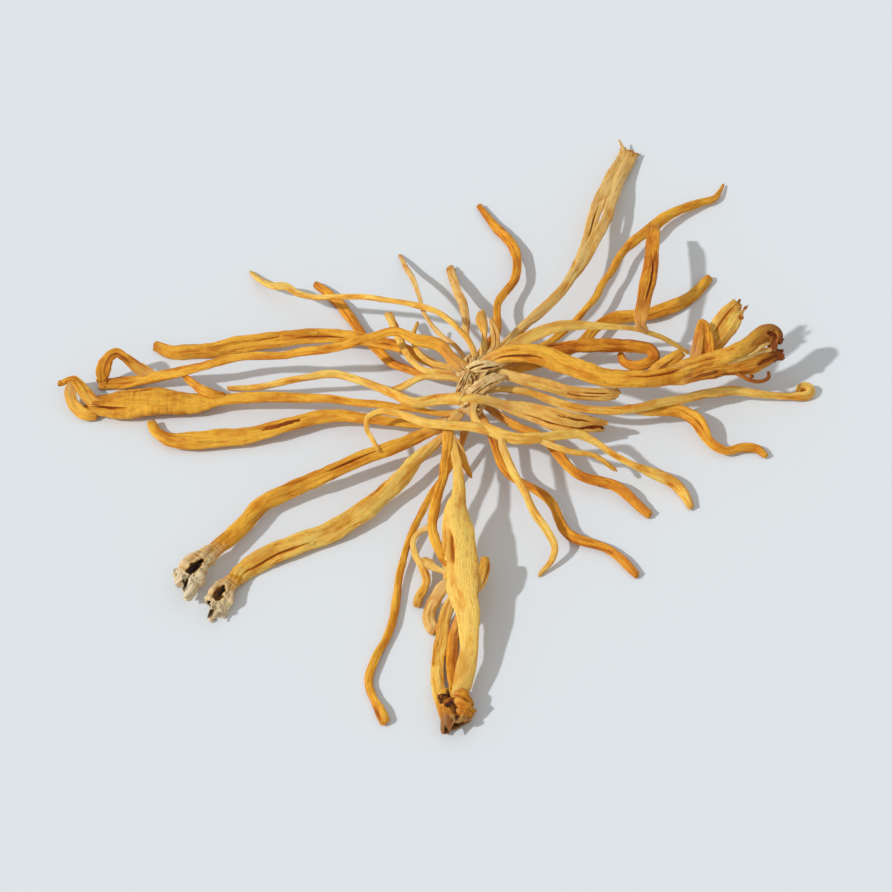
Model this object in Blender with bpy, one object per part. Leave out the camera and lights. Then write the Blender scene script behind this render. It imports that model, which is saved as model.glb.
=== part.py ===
"""A dried tuft of cordyceps: flattened stems that fan out from one base.

The tuft lies base up on a table. Its stems arch down to the table all
round, and the ones that touch it carry the weight. Every stem, fork and
curl is its own solid, lofted from a few sections along a route.

Routes are in millimetres, measured from the floor point under the middle
of the base: +X is to the right, +Y is away from the viewer, +Z is up.
Each row of a route is x, y, z and the width of the stem there.
"""
import math

import bmesh
import bpy
import numpy as np

MM = 0.001

# Driving dimensions, in millimetres
GAP = 0.3                       # between a stem and what it grew from
BASE_MIDDLE = (-0.3, -1.5, 12.0)
BASE_HALF = (4.6, 9.6, 4.2)     # half width, half length and half height of the base
BASE_DROP = 0.14                # how much the base dips towards the viewer, per mm
BASE_RIDGES = 5                 # fibre ridges round the base
RIDGE_HEIGHT = 0.06             # share of the half width
KNOT_HEIGHT = 0.05              # share of the half width
GROOVE_WIDTH = 0.4              # of the groove along a stem, as a share of the half width
UNDERSIDE_GROOVE = 0.5          # depth of the groove below, as a share of the one on top
BOX_MIDDLE = (-10.05, -2.65)    # middle of the whole tuft, seen from the base
LOWEST = 0.08                   # height of the lowest stem in the routes

# Which way the flat side of a stem looks
UP = (0.0, 0.0, 1.0)
LEANING = (0.0, -0.6, 0.8)

# Tips: rings past the end of the route as (advance, size), then the middle point
# Both are in half thicknesses and shares of the last section
TIPS = {
    "round": ([(0.5, 0.86), (0.9, 0.52)], 1.1),
    "point": ([(1.2, 0.6)], 2.4),
    "blunt": ([(0.3, 0.8)], 0.4),
    "cup": ([(0.5, 1.02), (0.6, 0.72)], -1.2),
}


def clear_scene():
    for obj in list(bpy.data.objects):
        bpy.data.objects.remove(obj, do_unlink=True)


def new_collection(name):
    collection = bpy.data.collections.new(name)
    bpy.context.scene.collection.children.link(collection)
    return collection


def new_material(name, colour, roughness):
    material = bpy.data.materials.new(name)
    material.use_nodes = True
    shader = material.node_tree.nodes["Principled BSDF"]
    shader.inputs["Base Color"].default_value = (*colour, 1.0)
    shader.inputs["Roughness"].default_value = roughness
    shader.inputs["Metallic"].default_value = 0.0
    return material


def smooth_route(points, count):
    """Even steps along a smooth curve through the points.

    Between two points the curve is the cubic that keeps their slopes, and
    a slope is the weighted mean of the chords on both sides. The width is
    carried along as the fourth coordinate.
    """
    p = np.array(points, dtype=float)
    chord = np.linalg.norm(np.diff(p[:, :3], axis=0), axis=1)
    run = np.concatenate([[0.0], np.cumsum(chord)])
    slope = np.gradient(p, run, axis=0)
    place = np.linspace(0.0, run[-1], count)
    k = np.clip(np.searchsorted(run, place) - 1, 0, len(run) - 2)
    h = (run[k + 1] - run[k])[:, None]
    t = (place - run[k])[:, None] / h
    start = (2 * t ** 3 - 3 * t ** 2 + 1) * p[k] + (t ** 3 - 2 * t ** 2 + t) * h * slope[k]
    end = (3 * t ** 2 - 2 * t ** 3) * p[k + 1] + (t ** 3 - t ** 2) * h * slope[k + 1]
    return start + end


def section_frames(middle, face, twist):
    """Across and out directions for each section, turned by the twist."""
    along = np.gradient(middle, axis=0)
    along /= np.linalg.norm(along, axis=1)[:, None]
    out = np.array(face) - along * (along @ np.array(face))[:, None]
    out /= np.linalg.norm(out, axis=1)[:, None]
    across = np.cross(out, along)
    turn = np.radians(np.linspace(twist[0], twist[1], len(middle)))[:, None]
    return (along, across * np.cos(turn) + out * np.sin(turn),
            out * np.cos(turn) - across * np.sin(turn))


def section_shape(sides, groove):
    """A flattened round whose top and underside dip along the middle."""
    angle = np.linspace(0.0, 2 * math.pi, sides, endpoint=False)
    dip = np.exp(-(np.cos(angle) / GROOVE_WIDTH) ** 2)
    depth = np.where(np.sin(angle) > 0, groove, groove * UNDERSIDE_GROOVE)
    return np.cos(angle), np.sin(angle) * (1 - depth * dip)


def stem(name, route, rings, sides=6, flat=0.62, groove=0.25, face=LEANING,
         twist=(0, 0), tip="round", grows_from=None, ends_in=None, material="stem"):
    """Lofts one stem and trims its ends off what it joins."""
    line = smooth_route(route, rings)
    middle, half = line[:, :3], line[:, 3:] / 2
    along, across, out = section_frames(middle, face, twist)
    u, v = section_shape(sides, groove)
    tip_rings, tip_point = TIPS[tip]
    last_half = half[-1, 0]
    middles, halves = list(middle), list(half[:, 0])
    acrosses, outs = list(across), list(out)
    for advance, size in tip_rings:
        middles.append(middle[-1] + along[-1] * advance * last_half * flat)
        halves.append(last_half * size)
        acrosses.append(across[-1])
        outs.append(out[-1])
    halves = np.array(halves)[:, None, None]
    around = (np.array(acrosses)[:, None, :] * u[None, :, None]
              + np.array(outs)[:, None, :] * v[None, :, None] * flat)
    points = np.array(middles)[:, None, :] + around * halves
    poles = [middle[0], middle[-1] + along[-1] * tip_point * last_half * flat]
    mesh = loft(name, points, poles)
    obj = bpy.data.objects.new(name, mesh)
    parts.objects.link(obj)
    mesh.materials.append(materials[material])
    for other in (grows_from, ends_in):
        if other:
            trim(obj, other)
    return obj


def loft(name, points, poles):
    """Joins rings of points with quads and closes both ends round a pole."""
    count, sides, _ = points.shape
    points[..., 2] = np.maximum(points[..., 2], 0.0)
    bm = bmesh.new()
    rings = [[bm.verts.new(p * MM) for p in ring] for ring in points]
    for lower, upper in zip(rings, rings[1:]):
        for j in range(sides):
            k = (j + 1) % sides
            bm.faces.new((lower[j], lower[k], upper[k], upper[j]))
    for pole, ring, turned in ((poles[0], rings[0], True), (poles[1], rings[-1], False)):
        centre = bm.verts.new((pole[0] * MM, pole[1] * MM, max(pole[2], 0.0) * MM))
        for j in range(sides):
            k = (j + 1) % sides
            edge = (ring[k], ring[j]) if turned else (ring[j], ring[k])
            bm.faces.new((*edge, centre))
    mesh = bpy.data.meshes.new(name)
    bm.to_mesh(mesh)
    bm.free()
    mesh.shade_smooth()
    return mesh


def trim(obj, other):
    """Cuts an object back to the gap off another, with a swollen copy of it."""
    name = other + "_clearance"
    cutter = bpy.data.objects.get(name)
    if cutter is None:
        mesh = bpy.data.objects[other].data.copy()
        mesh.name = name
        bm = bmesh.new()
        bm.from_mesh(mesh)
        bm.normal_update()
        for vertex in bm.verts:
            vertex.co += vertex.normal * GAP * MM
        bm.to_mesh(mesh)
        bm.free()
        cutter = bpy.data.objects.new(name, mesh)
        cutter.hide_render = True
        cutter.display_type = "WIRE"
        cutters.objects.link(cutter)
    cut = obj.modifiers.new("gap to " + other, "BOOLEAN")
    cut.operation = "DIFFERENCE"
    cut.solver = "EXACT"
    cut.object = cutter


def make_base():
    """The lump that all stems grew from: a long egg with fibrous ridges."""
    bm = bmesh.new()
    bmesh.ops.create_uvsphere(bm, u_segments=12, v_segments=8, radius=1.0)
    for vertex in bm.verts:
        x, y, z = vertex.co
        turn = math.atan2(z, x)
        swell = (1 + RIDGE_HEIGHT * math.sin(BASE_RIDGES * turn)
                 + KNOT_HEIGHT * math.sin(4 * y + 2 * turn))
        px = BASE_HALF[0] * x * swell
        py = BASE_HALF[1] * y
        pz = BASE_HALF[2] * z * swell + BASE_DROP * py
        vertex.co = (np.array(BASE_MIDDLE) + (px, py, pz)) * MM
    mesh = bpy.data.meshes.new("base")
    bm.to_mesh(mesh)
    bm.free()
    mesh.shade_smooth()
    mesh.materials.append(materials["base"])
    parts.objects.link(bpy.data.objects.new("base", mesh))


def make_left_stems():
    stem("stem_left_long", [
        (0, 1, 13.5, 2.4), (-4, 3, 15.5, 2.8), (-9.5, 8, 16.5, 3), (-14, 9.5, 16.5, 2.8),
        (-20, 12.5, 16, 2.2), (-26.5, 11.5, 15, 2.1), (-38, 9.5, 12.5, 2.1), (-52, 10, 10, 2.2),
        (-62.5, 10, 8.5, 2.3), (-70, 8.5, 7, 2.4), (-78, 8, 4.5, 2.8), (-86, 8, 2.2, 3.1),
        (-92, 8, 1.4, 3.1), (-96, 7.5, 1.2, 2.6)],
        rings=19, grows_from="base", twist=(0, 35))
    stem("curl_left_long", [
        (-84.5, 8, 3, 1.2), (-87, 9.5, 6, 1.3), (-90, 11, 8.3, 1.3), (-92.8, 12, 8.8, 1.2),
        (-95, 11.5, 8, 1.2), (-95.8, 10, 6.6, 1.1), (-96, 8.7, 5.6, 1)],
        rings=9, flat=0.8, grows_from="stem_left_long")
    stem("stem_left_short", [
        (0, -0.5, 12, 1.6), (-8, 0, 13.2, 1.5), (-12.5, 0.5, 13, 1.5), (-16, -0.5, 12, 1.6),
        (-18.5, -1.5, 11, 1.8), (-21, -2, 10.2, 1.6)],
        rings=7, grows_from="base", tip="cup")
    stem("stem_left_club", [
        (-1, -8, 10, 1.8), (-6, -8.5, 8.8, 1.7), (-16, -6, 8, 1.8), (-28, -3.5, 7, 2.2),
        (-42.5, -0.8, 6, 2.8), (-56, 0.5, 4.5, 3.4), (-65, 1, 3.4, 5), (-72, 0.8, 2.6, 7),
        (-79, 0.5, 2.2, 8.2), (-86, 0.2, 2, 8.4), (-92, 0, 1.9, 7.4), (-97, 0.3, 1.8, 5.2)],
        rings=16, sides=8, flat=0.5, groove=0.35, face=UP, grows_from="base")
    stem("curl_club_upper", [
        (-97, 1.5, 2, 1.6), (-99.5, 2.6, 2.8, 1.6), (-101.5, 4, 3.8, 1.5), (-103.5, 6, 4.3, 1.4),
        (-105.8, 6.5, 3.6, 1.3), (-106.4, 5, 2.6, 1)],
        rings=8, flat=0.8, grows_from="stem_left_club")
    stem("curl_club_lower", [
        (-97, -0.5, 2, 1.6), (-100.3, -0.6, 2.4, 1.6), (-101.5, -2.2, 2.6, 1.5),
        (-100.4, -4.2, 2.2, 1.5), (-98, -4.8, 1.4, 1.3)],
        rings=7, flat=0.8, grows_from="stem_left_club")
    stem("stem_left_lower", [
        (0, -5.5, 11, 2.4), (-8.5, -6.5, 12, 2.8), (-16, -7, 12, 2.6), (-20, -4.5, 11.5, 2.3),
        (-24.5, -1, 11, 2.2), (-29.5, 1.5, 10.5, 2), (-34, 3.5, 10, 2), (-44, 4, 8, 1.9),
        (-50, 4, 6, 1.8), (-56, 4.8, 3.6, 1.6), (-63, 6.5, 0.9, 1.3)],
        rings=14, grows_from="base", twist=(0, -30))
    stem("stem_left_twin_long", [
        (-1, 3.5, 10.5, 1.4), (-7, 4, 10.3, 1.5), (-13, 5.5, 9.5, 1.5), (-16, 9, 9, 1.5),
        (-18, 14, 8.5, 1.7), (-20, 20.5, 8, 2.3), (-22, 26, 7.5, 2)],
        rings=8, grows_from="base", tip="blunt")
    stem("stem_left_twin_short", [
        (-1, 5, 9.5, 1.2), (-6.5, 6.5, 9.3, 1.3), (-11.5, 9, 8.8, 1.3), (-14.2, 12.5, 8.4, 1.3),
        (-15.6, 17.5, 8, 1.3), (-14.5, 23, 7.5, 0.9)],
        rings=7, grows_from="base", tip="point")
    stem("stem_left_band", [
        (-5.6, -8.4, 6.4, 2), (-12.4, -8.9, 5.4, 2.3), (-20, -7.6, 4.6, 2.5), (-27.6, -5.9, 4, 2.8),
        (-35.2, -4.6, 3.6, 3.3), (-44.1, -6.5, 3.2, 3.8), (-53.6, -9.3, 2.6, 4.3),
        (-62.9, -10.9, 2.2, 4.6), (-71.7, -11.6, 1.9, 4.6), (-77.9, -10.7, 1.9, 3.8),
        (-80.8, -8.1, 1.9, 2.8), (-82, -5.5, 1.9, 2)],
        rings=14, flat=0.5, grows_from="base")
    stem("stem_left_upper", [
        (-5.6, 6.7, 8, 1.8), (-12, 11.5, 6.2, 2.2), (-19.4, 16.8, 5.2, 2.7), (-29.3, 20, 4.8, 3.2),
        (-40.7, 21.6, 4, 3.7), (-52.2, 21, 3, 4), (-62.5, 19.4, 2.2, 4), (-71.5, 18.2, 1.8, 3.8),
        (-79, 18.6, 1.7, 3.3), (-82.8, 20, 1.8, 2.6)],
        rings=13, flat=0.5, grows_from="base", tip="blunt")
    stem("stem_left_diagonal", [
        (-6, 4.8, 8, 1.5), (-12.4, 7.1, 5.8, 1.8), (-18.9, 11, 4.2, 2.1), (-24.7, 17, 3, 2.3),
        (-29.8, 25, 2, 2.5), (-34, 32.7, 1.5, 2.7), (-37.9, 38.6, 1.3, 2.5), (-41.7, 42.1, 1, 1.9)],
        rings=10, grows_from="base")


def make_upper_stems():
    stem("stem_up_left_long", [
        (0.5, 2.5, 13, 1.3), (-1, 8.5, 16, 1.4), (-4.5, 13, 17.5, 1.4), (-10, 19, 17, 1.5),
        (-19, 23, 15.5, 1.5), (-33.5, 29, 11, 1.6), (-42, 31.5, 8, 1.6), (-46, 34, 6.4, 1.9),
        (-50, 38, 4.6, 2.3), (-53, 39.3, 3.4, 2.3), (-56, 42, 2.2, 2.1), (-59, 46.5, 0.8, 1.3)],
        rings=17, grows_from="base", tip="point", twist=(0, 60))
    stem("stem_up_short", [
        (0, 4, 11.5, 1.4), (0, 9.5, 11.5, 1.4), (-2, 16, 11, 1.6), (-2, 22.5, 9.5, 2.1),
        (-2.5, 29.5, 7.3, 2.3), (-4, 36, 5, 2.3), (-5, 42, 3, 2.2), (-6, 47.5, 1.2, 2)],
        rings=9, grows_from="base", tip="cup")
    stem("stem_up_left_thin", [
        (-1, 4, 12.5, 1.1), (-5, 11, 12.6, 1.2), (-8.5, 14.5, 12.6, 1.2), (-13, 24, 11, 1.1),
        (-14, 30.5, 9.5, 1.1), (-15.5, 37, 7.4, 1.4), (-17.5, 45, 4.2, 1.5), (-19.5, 53, 0.7, 0.9)],
        rings=11, grows_from="base", tip="point")
    stem("stub_round_head", [
        (2, 5, 11.5, 1.7), (2.6, 10, 11.6, 1.7), (2.6, 15.5, 12, 1.5), (2.3, 17.5, 12.3, 2.2),
        (2, 19.5, 12.6, 2.6), (2, 21, 12.8, 2.2)],
        rings=7, sides=8, flat=0.9, groove=0, grows_from="base")
    stem("stub_flat", [
        (3.4, 6, 12.6, 1.6), (5.4, 11, 13.2, 2.2), (5.2, 14.5, 14.2, 2), (4.5, 17.5, 15, 1.2)],
        rings=6, flat=0.4, grows_from="base", tip="point")
    stem("stem_up_right_ribbed", [
        (2.5, 6, 10, 1.6), (6.5, 12.5, 9.2, 1.8), (10.5, 17.5, 9, 2), (15.5, 23.5, 9, 2.2),
        (21.5, 30.5, 9, 2.2), (27.5, 41.5, 8, 2.5), (32, 55, 6.3, 3.2), (34, 63, 5.6, 3.8),
        (36.5, 71, 4.6, 4.3), (39, 79, 3.4, 4.1), (42, 86, 2.2, 3.8), (43.8, 91, 1.6, 4)],
        rings=15, sides=10, flat=0.42, groove=0.5, grows_from="base", tip="cup")
    stem("stem_up_right_pale", [
        (3, 4, 12.8, 1.8), (8.2, 8.6, 13.4, 2.8), (14.5, 13, 14, 3), (22.5, 16, 14.5, 2.6),
        (30, 17, 13.4, 1.8), (38, 18, 11.5, 1.3), (49, 19, 6.5, 1.3), (56, 18.5, 0.9, 1)],
        rings=11, sides=8, flat=0.45, groove=0.15, grows_from="base")
    stem("pale_fork_upright", [
        (43.5, 17.2, 10.2, 2.3), (42.3, 20.5, 12.2, 3.1), (43.9, 26, 12.8, 3.9), (45.6, 33.1, 12.8, 4.2),
        (46.8, 41.6, 12, 3.7), (47.8, 49, 11, 3.5), (48.5, 54.6, 10, 3)],
        rings=8, sides=8, flat=0.5, grows_from="stem_up_right_pale", tip="blunt")
    stem("stem_up_right_hook", [
        (6.7, 9.4, 8, 1.5), (12.6, 13, 6.6, 1.8), (20, 18, 5.8, 1.8), (26.6, 25.4, 5.4, 1.8),
        (32.4, 35, 5, 1.9), (36.6, 43.4, 4.6, 1.9), (40, 50.4, 4.4, 2.2), (45.2, 56.9, 4, 2.7),
        (50.1, 62.5, 3.6, 3), (56.8, 68.1, 2.8, 2.5), (62.5, 71.5, 2, 2.2), (66.5, 73.6, 1.4, 1.7),
        (68.4, 76.4, 1.2, 1.1), (69.4, 78.9, 1, 0.8)],
        rings=15, grows_from="base", tip="point")


def make_right_stems():
    stem("stem_right_broad", [
        (0.5, 2, 14, 2.4), (3.8, 3.2, 15.8, 3.2), (8.5, 4, 17.6, 4.2), (14, 4, 18, 4.5),
        (22, 1.5, 17, 4.5), (31.5, -2, 16, 4.5), (41, -2.2, 15.2, 4.3), (49.5, -0.5, 14.5, 4.3),
        (55.5, 2.5, 14, 4.6), (59.5, 4.2, 13.6, 5)],
        rings=14, sides=10, flat=0.55, groove=0.4, grows_from="base", tip="blunt")
    stem("broad_lobe_upper", [
        (59, 6, 14.4, 2.4), (63, 7.5, 14.6, 3), (67, 9.2, 14.6, 3.8), (70.5, 11, 14.4, 4.4),
        (73.5, 12.8, 14, 4.6), (76, 13.5, 12.9, 3.6)],
        rings=8, sides=8, flat=0.55, grows_from="stem_right_broad", tip="cup")
    stem("broad_lobe_lower", [
        (59, 3, 12.8, 2), (62.5, 3.4, 12.2, 2.8), (66, 4.2, 11.6, 3.6), (70, 5.6, 11, 4),
        (74, 7.8, 10.5, 3.8), (77.5, 9.6, 10.4, 2.6)],
        rings=8, sides=8, flat=0.5, grows_from="stem_right_broad", tip="cup")
    stem("stem_right_mid", [
        (1, -0.5, 12.8, 2), (5.5, 0.3, 14, 2.4), (9.5, -0.6, 14.3, 2.7), (14, -2, 14.2, 3),
        (19.5, -3.5, 13.8, 3.2), (24, -4.5, 13.2, 3.2), (28.5, -4.6, 12.2, 3.2),
        (32.5, -4, 11.2, 3.1), (35.5, -3.2, 10.4, 2.4)],
        rings=9, sides=8, flat=0.55, grows_from="base", tip="cup")
    stem("stem_right_thin", [
        (1, -3, 11, 1.5), (6, -2, 11, 1.6), (13.5, -2.5, 10.2, 1.8), (24.5, -6, 9, 2),
        (31, -7, 8.6, 2), (40, -6, 8, 2), (50, -2.5, 7, 2.1), (59.5, 1, 5.6, 2.3),
        (67, 3, 4.2, 2.4), (71.5, 3.3, 3.2, 2.2), (76, 2.5, 2.2, 1.6), (80, 3, 1.6, 1.6),
        (83.5, 4, 1.4, 2.7), (86, 4.8, 1.3, 2.4)],
        rings=18, grows_from="base", twist=(0, 40))
    stem("stem_right_lower", [
        (0, -6.5, 10.5, 1.8), (5.5, -7.2, 10.8, 2.2), (10, -7.8, 10.8, 3), (14.5, -8.8, 10.4, 4.4),
        (19, -10.2, 9.8, 5.2), (23.5, -10.8, 8.8, 5.2), (28, -10.8, 7.8, 4.4), (31.5, -10.4, 6.8, 2.6)],
        rings=9, sides=8, flat=0.45, grows_from="base", tip="cup")
    stem("broad_fork_nub", [
        (44.1, -1.5, 15, 2.5), (46.4, 0.9, 16, 3), (49.1, 3.5, 16.4, 3), (52.5, 5.7, 16.6, 2.3)],
        rings=5, flat=0.5, grows_from="stem_right_broad")
    stem("broad_fork_loop", [
        (54.5, 3.3, 14.4, 2), (54.6, 6.2, 16, 2.3), (55.4, 9.8, 17.2, 2.3), (56.8, 13, 17.8, 2),
        (58.5, 13.8, 17.7, 2), (59.6, 11.4, 17.2, 2.3), (59.4, 9, 16.6, 1.8)],
        rings=10, flat=0.5, grows_from="stem_right_broad")
    stem("broad_fork_blade", [
        (57.4, 3.4, 12.6, 2), (59.2, 8.8, 12.2, 3), (62.6, 13.2, 13.8, 5), (65.6, 17.4, 15.4, 5.8),
        (68.2, 20.8, 16.4, 4.6)],
        rings=6, sides=8, flat=0.4, grows_from="stem_right_broad", tip="cup")
    stem("thin_fork_curl", [
        (38, -5.7, 8.2, 1.8), (43.3, -5, 6, 2.5), (48.5, -4, 4.8, 3.1), (53.3, -4.2, 4.2, 3.3),
        (56.3, -6.2, 3.8, 3.6), (57.9, -9.3, 3.4, 3.3), (59.7, -12.8, 2.6, 2.3), (63.2, -14.9, 2, 2),
        (67.6, -13.7, 1.7, 2.3), (71.4, -13.8, 1.4, 2), (73.3, -15.5, 1.1, 1.5)],
        rings=13, flat=0.5, grows_from="stem_right_thin")
    stem("stem_right_curl", [
        (6.2, 6.8, 9.4, 2), (14.4, 10.6, 9.2, 2.6), (22.7, 13.2, 9, 3.1), (30.5, 14.6, 8.4, 3.4),
        (37.3, 15.4, 7.4, 3.4), (43.1, 15.6, 6.4, 3.1), (47, 14.4, 5.4, 2.9), (48, 11.6, 4.2, 2.9),
        (45.2, 9.4, 3.2, 2.9), (41.6, 10, 2.4, 2.6), (39.6, 12.6, 2, 2.3)],
        rings=13, flat=0.55, grows_from="base")


def make_lower_stems():
    stem("stem_down_left", [
        (-3.5, -9, 10.5, 2), (-6, -13.5, 10.3, 2.4), (-7, -22, 9.6, 2.6), (-7.6, -28, 9, 2.3),
        (-9, -33.5, 8.5, 2.4), (-10, -38.5, 8, 2.3), (-10.5, -42.5, 7.6, 2.4),
        (-9.5, -47, 7.2, 2.5), (-8, -51, 7.4, 2.3), (-6.5, -54, 7.8, 2)],
        rings=11, grows_from="base")
    stem("stem_down_blade", [
        (-6, -21, 10, 1.4), (-4.4, -26, 10.4, 1.8), (-4, -30.5, 10.4, 2), (-4, -35, 10.2, 2.8),
        (-4.4, -38, 9.8, 4.6), (-4.4, -41.5, 9.4, 6.2), (-4, -46, 8.8, 6.8), (-3.4, -53, 8, 7.2),
        (-3.2, -58, 7.4, 7.2), (-2.6, -62, 7, 6.4), (-1.8, -66.5, 6.6, 5.2), (-1.8, -72, 6, 4.3),
        (-1.8, -78, 5.4, 4.1), (-3, -84, 4.8, 4.4), (-4, -89, 4.2, 4)],
        rings=16, sides=10, flat=0.36, groove=0.3, grows_from="stem_down_left")
    trim(bpy.data.objects["stem_down_left"], "stem_down_blade")
    stem("fork_short", [
        (-6, -16, 10, 1.6), (-4.2, -19, 9.2, 1.8), (-3, -22, 8.4, 1.8), (-2, -24.5, 7.8, 1.7),
        (-1.2, -26.3, 7.3, 1.2)],
        rings=6, grows_from="stem_down_left", tip="point")
    stem("fork_loop", [
        (-10, -42, 6.8, 1.2), (-13, -42.6, 6.2, 1.3), (-15, -45.5, 5.5, 1.3), (-14.5, -48.5, 4.5, 1.3),
        (-12.7, -51.5, 3.4, 1.4), (-11.6, -54.5, 2.4, 1.6), (-12.4, -57, 1.7, 1.7),
        (-13.8, -59.5, 1.1, 1.7), (-14, -61, 0.9, 1.5)],
        rings=9, flat=0.8, grows_from="stem_down_left")
    stem("fork_knob", [
        (-6, -56, 7.4, 1.3), (-9, -54.8, 7, 1.4), (-11, -53.2, 6.6, 1.9), (-12, -51.8, 6.4, 2)],
        rings=6, flat=0.8, groove=0, grows_from="stem_down_blade")
    stem("fork_lower", [
        (-6, -57.5, 6.8, 2.2), (-8.2, -59.5, 5.6, 2.4), (-9.6, -61, 4, 2.4), (-10.8, -62.8, 2.4, 2.5),
        (-11.2, -65, 1.4, 2.5), (-10.6, -67, 1, 2.2), (-10, -68.6, 0.8, 1.8)],
        rings=7, grows_from="stem_down_blade")
    stem("fork_ear", [
        (-1, -62.4, 7, 1.4), (0.8, -59.6, 7.6, 2), (1.6, -57, 8, 2.4), (2.2, -54, 8.2, 2.2),
        (2.3, -52.4, 8.2, 1.6)],
        rings=6, flat=0.5, grows_from="stem_down_blade")
    stem("head_down", [
        (-6, -87.5, 3, 5.4), (-5.8, -89.5, 3, 6.6), (-5.6, -92, 2.8, 6.8), (-6, -94.5, 2.4, 5.6),
        (-6.6, -96, 2, 4)],
        rings=8, sides=10, flat=0.7, groove=0.2, tip="cup", material="head")
    stem("strand_down_left", [
        (-3.6, -60.5, 6.8, 1.8), (-6, -62.2, 4.6, 2.4), (-7.6, -66, 2.6, 2.9), (-8.2, -70.5, 1.7, 3),
        (-9, -76, 1.4, 3), (-8.9, -81.5, 1.6, 3), (-8.2, -88, 2.6, 2.6)],
        rings=9, grows_from="stem_down_blade", ends_in="head_down")
    stem("strand_down_mid", [
        (-2, -64.5, 6.2, 1.8), (-3.6, -66.4, 4.2, 2.2), (-5, -70, 2.2, 2.6), (-5.4, -74, 1.5, 2.7),
        (-5.6, -79, 1.5, 2.5), (-5.4, -84, 1.8, 2.3), (-5.2, -89, 2.6, 2.2)],
        rings=8, grows_from="stem_down_blade", ends_in="head_down")
    trim(bpy.data.objects["stem_down_blade"], "head_down")


def make_crossing_stems():
    """The stem that crosses in front of the base, with its arm and forks."""
    stem("stem_cross_right", [
        (0, -8, 13, 1.8), (-0.5, -12, 13.8, 2), (0.5, -15, 13.4, 2.2), (4, -17, 12.8, 2.4),
        (9.5, -18.5, 12, 2.4), (16.5, -18, 11.5, 2.1), (22, -16.5, 11, 2), (26, -16, 10.5, 1.9),
        (29, -17, 9.5, 1.6), (35.5, -20.5, 7, 1.5), (39.5, -22.5, 6, 1.8), (43, -23, 4.5, 2.4),
        (47, -24, 3, 3), (50, -25.5, 2, 3), (52.5, -28.5, 1.4, 2.6), (53.5, -31.5, 1.1, 1.8)],
        rings=17, grows_from="base", twist=(0, 25))
    stem("stem_cross_left", [
        (0.5, -15, 13.4, 1.7), (-2.5, -16, 13.2, 2), (-6.5, -15.5, 13, 1.9), (-13, -14, 12.5, 1.7),
        (-17.5, -11.5, 12, 1.5), (-21, -10, 11.5, 1.4), (-24, -9.5, 11, 1.3), (-26.5, -10.5, 10, 1.3),
        (-27, -13, 9, 1.2), (-25.5, -16, 8.3, 1.1), (-24, -19, 7.8, 0.9)],
        rings=12, grows_from="stem_cross_right", tip="point")
    stem("cross_fork_long", [
        (6.5, -18, 12.3, 1.5), (7, -22, 12, 1.7), (9, -27.5, 11, 1.8), (12, -33, 9.5, 1.8),
        (14.5, -38.5, 8, 1.8), (17.5, -42.5, 6, 1.7), (19.3, -46, 4, 1.6), (18.2, -49, 2, 1.5),
        (16, -51.5, 0.9, 1.1)],
        rings=10, grows_from="stem_cross_right", tip="point")
    stem("cross_fork_short", [
        (15, -18.2, 11.4, 1.2), (19, -20, 10.8, 1.4), (24, -21, 9.8, 1.4), (29, -21, 8.6, 1.3),
        (34.5, -23.5, 6, 1)],
        rings=7, grows_from="stem_cross_right", tip="point")


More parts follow.
